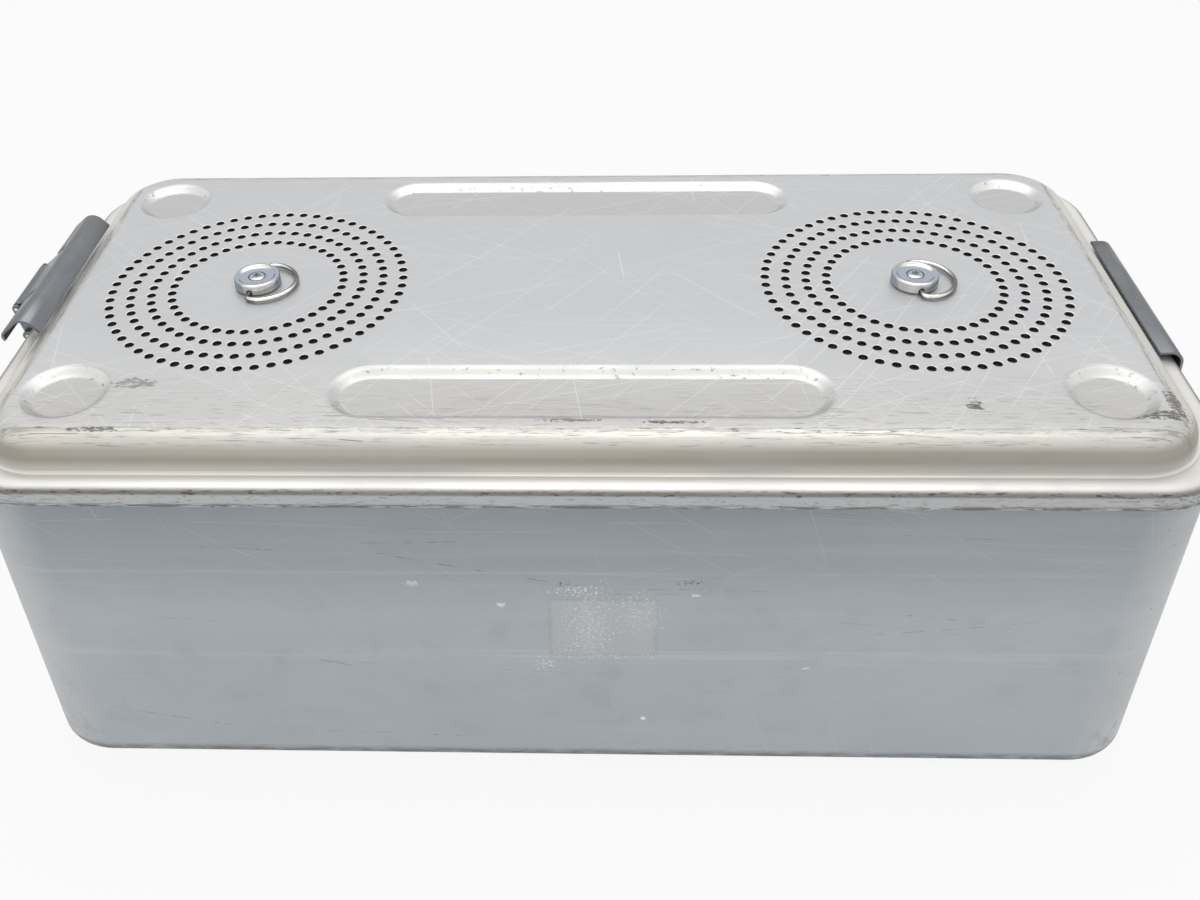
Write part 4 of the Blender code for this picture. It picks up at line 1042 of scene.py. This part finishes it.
def latch_metal():
    """Mid grey satin steel, rubbed along its length, paler where handled, and painted dark where it
    turns away from the view.
    """
    material, place = principled("latch_steel_satin", metallic=0.9)
    x, y, z = split(place)
    lengthwise = vector_of(y, x, z)
    rub = use(scratches, lengthwise, turn=0.0, length=18.0, spacing=700.0, width=0.25, cover=0.6,
              wander=0.004, seed=2.0)
    cloud = noise(lengthwise, 40.0, 4.0, 0.6)
    colour = blend(cloud, (0.14, 0.15, 0.165), (0.25, 0.26, 0.275))
    colour = coat(colour, (0.34, 0.34, 0.35), rub, 0.4)
    # Painted shade: the bent sheet darkens where it turns away from the view.
    facing = facing_away(place)
    colour = coat(colour, (0.075, 0.08, 0.085), band(facing, 0.35, 0.85), 0.7)
    nicks = use(chips, lengthwise, along=300.0, across=600.0, level=0.70, soft=0.03)
    colour = coat(colour, (0.5, 0.49, 0.48), nicks)
    height = plus(times(rub, 0.4), times(cloud, 0.6))
    return finish_with(material, colour, height, 0.25, 0.3 * MM, band(cloud, 0.3, 0.7, 0.27, 0.40))


def flat_piece(name, outline, holes, thickness):
    """A small stamped plate standing in XZ, with holes given as (x, z, radius)."""
    bm = bmesh.new()
    half = thickness / 2
    rings = []
    for points in [outline] + [arc_points(hole[:2], hole[2], 0, 2 * pi, 16)[:-1] for hole in holes]:
        rings.append([ring_of(bm, [(x, z, y) for x, z in points]) for y in (-half, half)])
    skin(bm, rings[0][0], rings[0][1])
    for low, high in rings[1:]:
        skin(bm, low[::-1], high[::-1])

    def on_plate(x, z):
        return all(hypot(x - hole[0], z - hole[1]) > hole[2] * 0.97 for hole in holes)

    pierced_face(bm, [pair[1] for pair in rings], on_plate)
    pierced_face(bm, [pair[0] for pair in rings], on_plate, facing_up=False)
    bmesh.ops.rotate(bm, verts=bm.verts, matrix=Matrix.Rotation(pi / 2, 3, "X"))
    return solid(bm, name, 30)


def at_end(piece, side, x, y, z, tilt=0.0):
    """Stand a piece at one end: x outwards, y along the end, z up."""
    turn = Matrix.Rotation(end_turn[side], 4, "Z")
    lean = Matrix.Rotation(-tilt, 4, "Y")
    piece.matrix_world = turn @ Matrix.Translation((x, y, z)) @ lean


def along_end(side, y):
    """A place along an end that is the same in the room for both ends."""
    return y if side == "right" else -y


latch_finish = latch_metal()
link_outline = arc_points((link_length, 0), 2.1 * MM, -pi / 2, pi / 2, 12)
link_outline += arc_points((0, 0), 2.1 * MM, pi / 2, 3 * pi / 2, 12)
lug_outline = arc_points((0, 0), 2.6 * MM, -pi / 2, pi / 2, 12) + mm((-2.7, 2.6), (-2.7, -2.6))
for side in ("left", "right"):
    middle = along_end(side, latch_y)
    swing = swing_at_rest[side]
    link_angle = shut_angle + swing
    bar = latch_bar("latch_sheet_" + side)
    at_end(bar, side, pivot[0] + link_length * cos(link_angle), middle,
           pivot[1] + link_length * sin(link_angle), raised_tilt * swing / raised_swing)
    fit(bar, latch_finish, "latch_bar_" + side, "bar_" + side)
    dress("latch_pin_" + side, knob_finish)
    for row, way in (("front", -1), ("rear", 1)):
        tail = row + "_" + side
        shift = along_end(side, way)
        link = flat_piece("link_plate_" + tail, link_outline,
                          [(0, 0, pin_bore), (link_length, 0, pin_bore)], 1.4 * MM)
        at_end(link, side, pivot[0], middle + shift * link_middle, pivot[1], link_angle)
        fit(link, latch_finish, "latch_link_" + tail, "links_" + side)
        lug = flat_piece("lug_plate_" + tail, lug_outline, [(0, 0, pin_bore)], 2.3 * MM)
        at_end(lug, side, pivot[0], middle + shift * lug_middle, pivot[1])
        fit(lug, latch_finish, "latch_lug_" + tail, "lid")
        dress("latch_pivot_" + tail, knob_finish)


# Tub: one deep drawn aluminium sheet with an outward rim and a rounded base,
# anodised blue grey, with four shallow feet pressed down in its floor.
tub_half_length = lid_half_length - 4.5 * MM
tub_half_width = lid_half_width - 5.0 * MM
tub_corner = 36.5 * MM
tub_sheet = 2.0 * MM
tub_draft = 0.4 * MM
base_edge = 7.5 * MM
rim_top = flange_top - lid_sheet - 4.2 * MM
base_bottom = 3.0 * MM
rim_edge = 2.4 * MM
feet = [(x, y, 0.0, (20.6 * MM, 13.4 * MM)) for x, y in far_corners]
wall_heights = (60 * MM, 110 * MM, 150 * MM)


def tub_outline(outset, z):
    inset = tub_draft * (rim_top - z) / rim_top - outset
    return corner_outline(tub_half_length - inset, tub_half_width - inset, tub_corner - inset, z)


def make_tub():
    t = tub_sheet
    bm = bmesh.new()
    outer = [tub_outline(base_edge * (sin(c) - 1), base_bottom + base_edge * (1 - cos(c)))
             for c in arc(10)]
    outer += [tub_outline(0, z) for z in wall_heights]
    outer += [tub_outline(0, rim_top - t - 0.6 * MM), tub_outline(0.4 * MM, rim_top - t)]
    rim = [skirt_outline(rim_edge + t / 2 * (1 - sin(c)), rim_top - t / 2 - t / 2 * cos(c))
           for c in (pi * step / 6 for step in range(7))]
    inner = [tub_outline(-t + 1.6 * MM * (1 - sin(c)), rim_top - 1.6 * MM * (1 - cos(c)))
             for c in arc(5)]
    inner += [tub_outline(-t, z) for z in wall_heights[::-1]]
    inner += [tub_outline((base_edge - t) * sin(c) - base_edge,
                          base_bottom + base_edge - (base_edge - t) * cos(c)) for c in arc(7)[::-1]]
    rings = [ring_of(bm, points) for points in outer + rim + inner]
    skin_all(bm, rings)
    lower, upper = [rings[0]], [rings[-1]]
    foot_spread = t * 0.8
    press_hollows(bm, feet, foot_spread, base_bottom + t, base_bottom, base_bottom, upper, lower)

    def on_floor(spread):
        def inside(x, y):
            return all(hypot(x - foot[0], y - foot[1]) > (foot[3][0] + spread) * 0.995
                       for foot in feet)
        return inside

    pierced_face(bm, upper, on_floor(0.0))
    pierced_face(bm, lower, on_floor(foot_spread), facing_up=False)
    return solid(bm, "tub_shell", 32)


def tub_metal():
    """Matte blue-grey anodised aluminium with rubs, dirt and label remains, and painted shade along
    its base.
    """
    material, place = principled("worn_tub_anodised", metallic=0.55)
    x, y, z = split(place)
    up = times(z, 1 / MM)
    wall = vector_of(x, z, y)
    streak = vector_of(times(x, 3.0), times(z, 60.0), times(y, 3.0))
    colour = blend(band(up, rim_top / MM, 155.0), (0.285, 0.32, 0.35), (0.345, 0.38, 0.415))
    colour = coat(colour, (0.455, 0.49, 0.525), band(up, 158.0, 108.0))
    cloud = noise(wall, 11.0, 5.0, 0.6)
    colour = coat(colour, (0.47, 0.495, 0.52), band(cloud, 0.35, 0.75), 0.35)
    colour = coat(colour, (0.52, 0.545, 0.565), band(noise(streak, 1.0, 4.0, 0.7), 0.45, 0.8), 0.3)
    bend_x = minus(maths("ABSOLUTE", x), tub_half_length)
    bend_y = minus(maths("ABSOLUTE", y), tub_half_width)
    corner = band(plus(bend_x, bend_y), -42 * MM, -18 * MM)
    colour = coat(colour, (0.60, 0.605, 0.60), corner, 0.6)
    rub = 0.0
    for middle, width, strength in ((84.0, 4.0, 0.5), (87.5, 1.2, 0.5), (79.5, 1.6, 0.25),
                                    (140.5, 1.5, 0.3)):
        rub = most(rub, times(band(maths("ABSOLUTE", minus(up, middle)), width, 0.0), strength))
    broken = band(noise(streak, 2.0, 4.0, 0.7), 0.35, 0.65)
    colour = coat(colour, (0.60, 0.605, 0.61), rub, broken)
    pale = strokes(wall, ("turn", "cover", "seed"), (
        (0.05, 0.4, 3.0), (0.6, 0.25, 9.0), (-0.45, 0.25, 17.0), (1.3, 0.08, 27.0)),
                   length=11.0, spacing=120.0, width=0.034, wander=0.02)
    colour = coat(colour, (0.62, 0.63, 0.64), pale, 0.5)
    grazes = strokes(wall, ("turn", "spacing", "cover", "seed"), (
        (0.02, 75.0, 0.3, 51.0), (-0.07, 45.0, 0.16, 59.0), (0.12, 40.0, 0.12, 67.0)),
                     length=9.0, width=0.014, wander=0.02)
    grazed = use(chips, wall, along=140.0, across=200.0, level=0.47, soft=0.1)
    colour = coat(colour, (0.13, 0.11, 0.095), grazes, grazed, 0.8)
    blotch = band(noise(wall, 42.0, 4.0, 0.65), 0.5, 0.78)
    colour = coat(colour, (0.33, 0.355, 0.38), blotch, 0.3)

    # The label's trace, its glue, chips of paint and dark marks, on the front wall
    front_wall = -0.1403
    flakes = use(chips, wall, along=620.0, across=620.0, level=0.53, soft=0.04)
    for spot_x, spot_z, size_x, size_z, square, ragged, shade, strength in (
            (0.0110, 0.1040, 0.0262, 0.0197, 1.0, 0.10, (0.36, 0.385, 0.40), 0.6),
            (0.0110, 0.1040, 0.0252, 0.0187, 1.0, 0.25, (0.50, 0.525, 0.54), 0.85),
            (0.0040, 0.1030, 0.0070, 0.0150, 0.0, 4.5, (0.56, 0.575, 0.58), 0.4),
            (0.0290, 0.1080, 0.0080, 0.0090, 0.0, 4.5, (0.55, 0.565, 0.57), 0.4),
            (-0.0020, 0.1290, 0.0100, 0.0035, 0.0, 5.0, (0.78, 0.78, 0.76), 0.9),
            (0.0040, 0.1060, 0.0090, 0.0180, 0.0, 7.0, (0.72, 0.73, 0.72), 0.8),
            (0.0280, 0.1150, 0.0080, 0.0100, 0.0, 7.0, (0.72, 0.73, 0.72), 0.7),
            (0.0100, 0.0840, 0.0300, 0.0018, 0.0, 5.0, (0.70, 0.70, 0.68), 0.7),
            (-0.0180, 0.0775, 0.0040, 0.0040, 0.0, 5.0, (0.78, 0.78, 0.76), 0.8),
            (0.0310, 0.0375, 0.0013, 0.0013, 0.0, 0.3, (0.86, 0.86, 0.84), 1.0),
            (-0.0380, 0.1195, 0.0020, 0.0014, 0.0, 3.0, (0.76, 0.76, 0.74), 0.9),
            (-0.0790, 0.1335, 0.0030, 0.0015, 0.0, 3.0, (0.66, 0.67, 0.67), 0.8),
            (0.1100, 0.0765, 0.0020, 0.0010, 0.0, 2.0, (0.70, 0.71, 0.71), 0.8),
            (0.0540, 0.1265, 0.0022, 0.0010, 0.0, 2.0, (0.72, 0.72, 0.71), 0.8),
            (0.0500, 0.1350, 0.0070, 0.0012, 0.0, 5.0, (0.10, 0.095, 0.09), 0.8),
            (-0.0070, 0.1330, 0.0075, 0.0014, 0.0, 6.0, (0.10, 0.095, 0.09), 0.7)):
        mark = use(patch, place, centre=(spot_x, front_wall, spot_z), reach=(size_x, 0.02, size_z),
                   square=square, ragged=ragged, grain=900.0)
        if ragged >= 5.0:
            mark = times(mark, flakes)
        colour = coat(colour, shade, mark, strength)

    # Painted shade along the base: a steady dark band where the wall turns under, with dirt chips
    # in it; corner specks and smudges are dirt.
    base = times(band(up, 14.0, 8.5), band(face_normal(place)[2], 0.2, 0.05))
    chipped = use(chips, wall, along=60.0, across=300.0, level=0.42, soft=0.12)
    dirt_and_base_shade = times(base, plus(times(chipped, 0.4), 0.32))
    sparse = band(noise(place, 26.0), 0.46, 0.6)
    for vector, along, across, level, soft, *where in (
            (place, 330.0, 330.0, 0.62, 0.10, corner, sparse, 0.7),  # corner specks
            (place, 110.0, 110.0, 0.47, 0.16, corner, band(up, 48.0, 9.0), 0.45),  # low smudges
            (wall, 420.0, 520.0, 0.72, 0.03, 0.5)):  # fine specks
        flecks = use(chips, vector, along=along, across=across, level=level, soft=soft)
        dirt_and_base_shade = most(dirt_and_base_shade, times(flecks, *where), clamp=True)
    colour = coat(colour, (0.07, 0.065, 0.06), dirt_and_base_shade)
    height = plus(noise(place, 18.0), times(noise(place, 800.0), 0.03))
    return finish_with(material, colour, height, 0.4, 0.6 * MM, band(cloud, 0.3, 0.7, 0.42, 0.56))


tub_shell = make_tub()
fit(tub_shell, tub_metal(), "tub", "tub")


# Keepers: folded steel strips riveted below each latch, which the hooked lips
# of the latch pull up against.
keeper_wall = tub_half_length + 0.3 * MM
keeper_face = keeper_wall + 0.8 * MM
keeper_top = skirt_bottom - 0.5 * MM


def rivet_piece(name, seat, z):
    """A domed rivet through a fitting and the tub's wall, lying along X."""
    inside = tub_half_length - tub_draft * (rim_top - z) / rim_top - tub_sheet - 0.3 * MM
    outside = seat + 0.3 * MM
    head = ((0, 1.0), (0.9, 0.95), (1.8, 0.75), (2.6, 0.4), (3.0, 0), (1.6, 0))
    tail = ((1.6, 0), (3.0, 0), (2.4, -0.5), (1.2, -0.9), (0, -1.0))
    profile = [(radius * MM, foot + height * MM) for points,
               foot in ((head, outside), (tail, inside)) for radius, height in points]
    rivet = turned_piece(name, profile, 28, closed=False)
    rivet.data.transform(Matrix.Rotation(pi / 2, 4, "Y"))
    return rivet


keeper_foot = keeper_top - 13 * MM
keeper_fold = keeper_top - 1.5 * MM
keeper_lip = tub_half_length + 3.0 * MM
keeper_outline = [(keeper_wall, keeper_top), (keeper_wall, keeper_foot), (keeper_face, keeper_foot),
                  (keeper_face, keeper_fold), (keeper_lip, keeper_fold), (keeper_lip, keeper_top)]
rivet_z = keeper_top - 8.8 * MM
for side in ("left", "right"):
    keeper = flat_piece("keeper_strip_" + side, keeper_outline, [], bar_length)
    soften(keeper, 0.25 * MM)
    at_end(keeper, side, 0, along_end(side, latch_y), 0)
    fit(keeper, latch_finish, "latch_keeper_" + side, "tub")
    for row, way in (("front", -1), ("rear", 1)):
        rivet = rivet_piece("keeper_stud_" + row + "_" + side, keeper_face, rivet_z)
        at_end(rivet, side, 0, along_end(side, latch_y + way * 38 * MM), rivet_z)
        fit(rivet, knob_finish, "keeper_rivet_" + row + "_" + side, "tub")


# Drop handles: a bent steel rod in two riveted brackets at each end, with a
# black sleeve where the hand holds it.
handle_z = 150.0 * MM
handle_rod = 3.0 * MM
grip_radius = 6.6 * MM
handle_x = tub_half_length + 0.3 * MM + grip_radius + 0.3 * MM
handle_half = 52.0 * MM
handle_drop = 46.0 * MM
ear_inner = 60.3 * MM
bracket_middle = 70.3 * MM
rivet_rise = 9 * MM
ear_x = handle_x - keeper_wall


def grip_plastic():
    material, place = principled("black_grip")
    mottle = noise(place, 120.0, 4.0)
    colour = blend(mottle, (0.022, 0.022, 0.024), (0.05, 0.05, 0.052))
    return finish_with(material, colour, noise(place, 900.0), 0.4, 0.2 * MM,
                       band(mottle, 0.3, 0.7, 0.42, 0.6))


def bracket_piece(name, shift):
    """A riveted plate with one ear towards the grip, bored for the rod and rivets."""
    bm = bmesh.new()
    made = bmesh.ops.create_cube(bm, size=1.0)
    bmesh.ops.transform(bm, verts=made["verts"], matrix=Matrix.Translation((0.75 * MM,
                                                                            shift * 10 * MM, 0))
                        @ Matrix.Diagonal((1.5 * MM, 20 * MM, 26 * MM, 1)))
    bracket = solid(bm, name)
    ear = flat_piece("ear", arc_points((ear_x, 0), 4.6 * MM, -pi / 2, pi / 2, 14)
                     + mm((0.8, 6), (0.8, -6)), [], 2.4 * MM)
    ear.data.transform(Matrix.Translation((0, shift * 1.2 * MM, 0)))
    combine(bracket, ear, "UNION")
    bores = bmesh.new()
    rod(bores, 3.3 * MM, (ear_x, -8 * MM, 0), (ear_x, 8 * MM, 0), 28)
    for rise in (-rivet_rise, rivet_rise):
        rod(bores, 1.9 * MM, (-3 * MM, shift * 10 * MM, rise), (4 * MM, shift * 10 * MM, rise), 20)
    combine(bracket, solid(bores, "bores"), "DIFFERENCE")
    soften(bracket, 0.25 * MM)
    return bracket


grip_finish = grip_plastic()
grip_profile = [(3.3, 36), (5.2, 36), (6.0, 35.4), (6.6, 33.2), (6.5, 31), (6.0, 22), (5.8, 11),
                (5.8, 0)]
grip_profile += [(radius, -reach) for radius, reach in grip_profile[-2::-1]]
bail_arm = [(handle_half + 11 * MM, 0)]
bail_arm += arc_points((handle_half + 7 * MM, -7 * MM), 7 * MM, pi / 2, pi, 8)
bail_arm += arc_points((handle_half - 7 * MM, 7 * MM - handle_drop), 7 * MM, 0, -pi / 2, 8)
bail_arm += [(-y, z) for y, z in bail_arm[::-1]]
for side in ("left", "right"):
    bail = wire_piece("handle_rod_" + side, [(0, y, z) for y, z in bail_arm], handle_rod, 20, 0)
    at_end(bail, side, handle_x, 0, handle_z)
    fit(bail, plate_finish, "handle_bail_" + side, "handle_" + side)
    grip = turned_piece("grip_sleeve_" + side, mm(*grip_profile), 40)
    grip.data.transform(Matrix.Translation((0, 0, -handle_drop)) @ Matrix.Rotation(pi / 2, 4, "X"))
    at_end(grip, side, handle_x, 0, handle_z)
    fit(grip, grip_finish, "handle_grip_" + side, "handle_" + side)
    for row, way in (("front", -1), ("rear", 1)):
        tail = row + "_" + side
        shift = along_end(side, way)
        bracket = bracket_piece("bracket_plate_" + tail, shift)
        at_end(bracket, side, keeper_wall, shift * ear_inner, handle_z)
        fit(bracket, plate_finish, "handle_bracket_" + tail, "tub")
        for level, rise in (("lower", -rivet_rise), ("upper", rivet_rise)):
            rivet = rivet_piece("bracket_stud_" + level + "_" + tail, keeper_wall + 1.5 * MM,
                                handle_z + rise)
            at_end(rivet, side, 0, shift * bracket_middle, handle_z + rise)
            fit(rivet, knob_finish, "handle_rivet_" + level + "_" + tail, "tub")


bpy.context.view_layer.update()
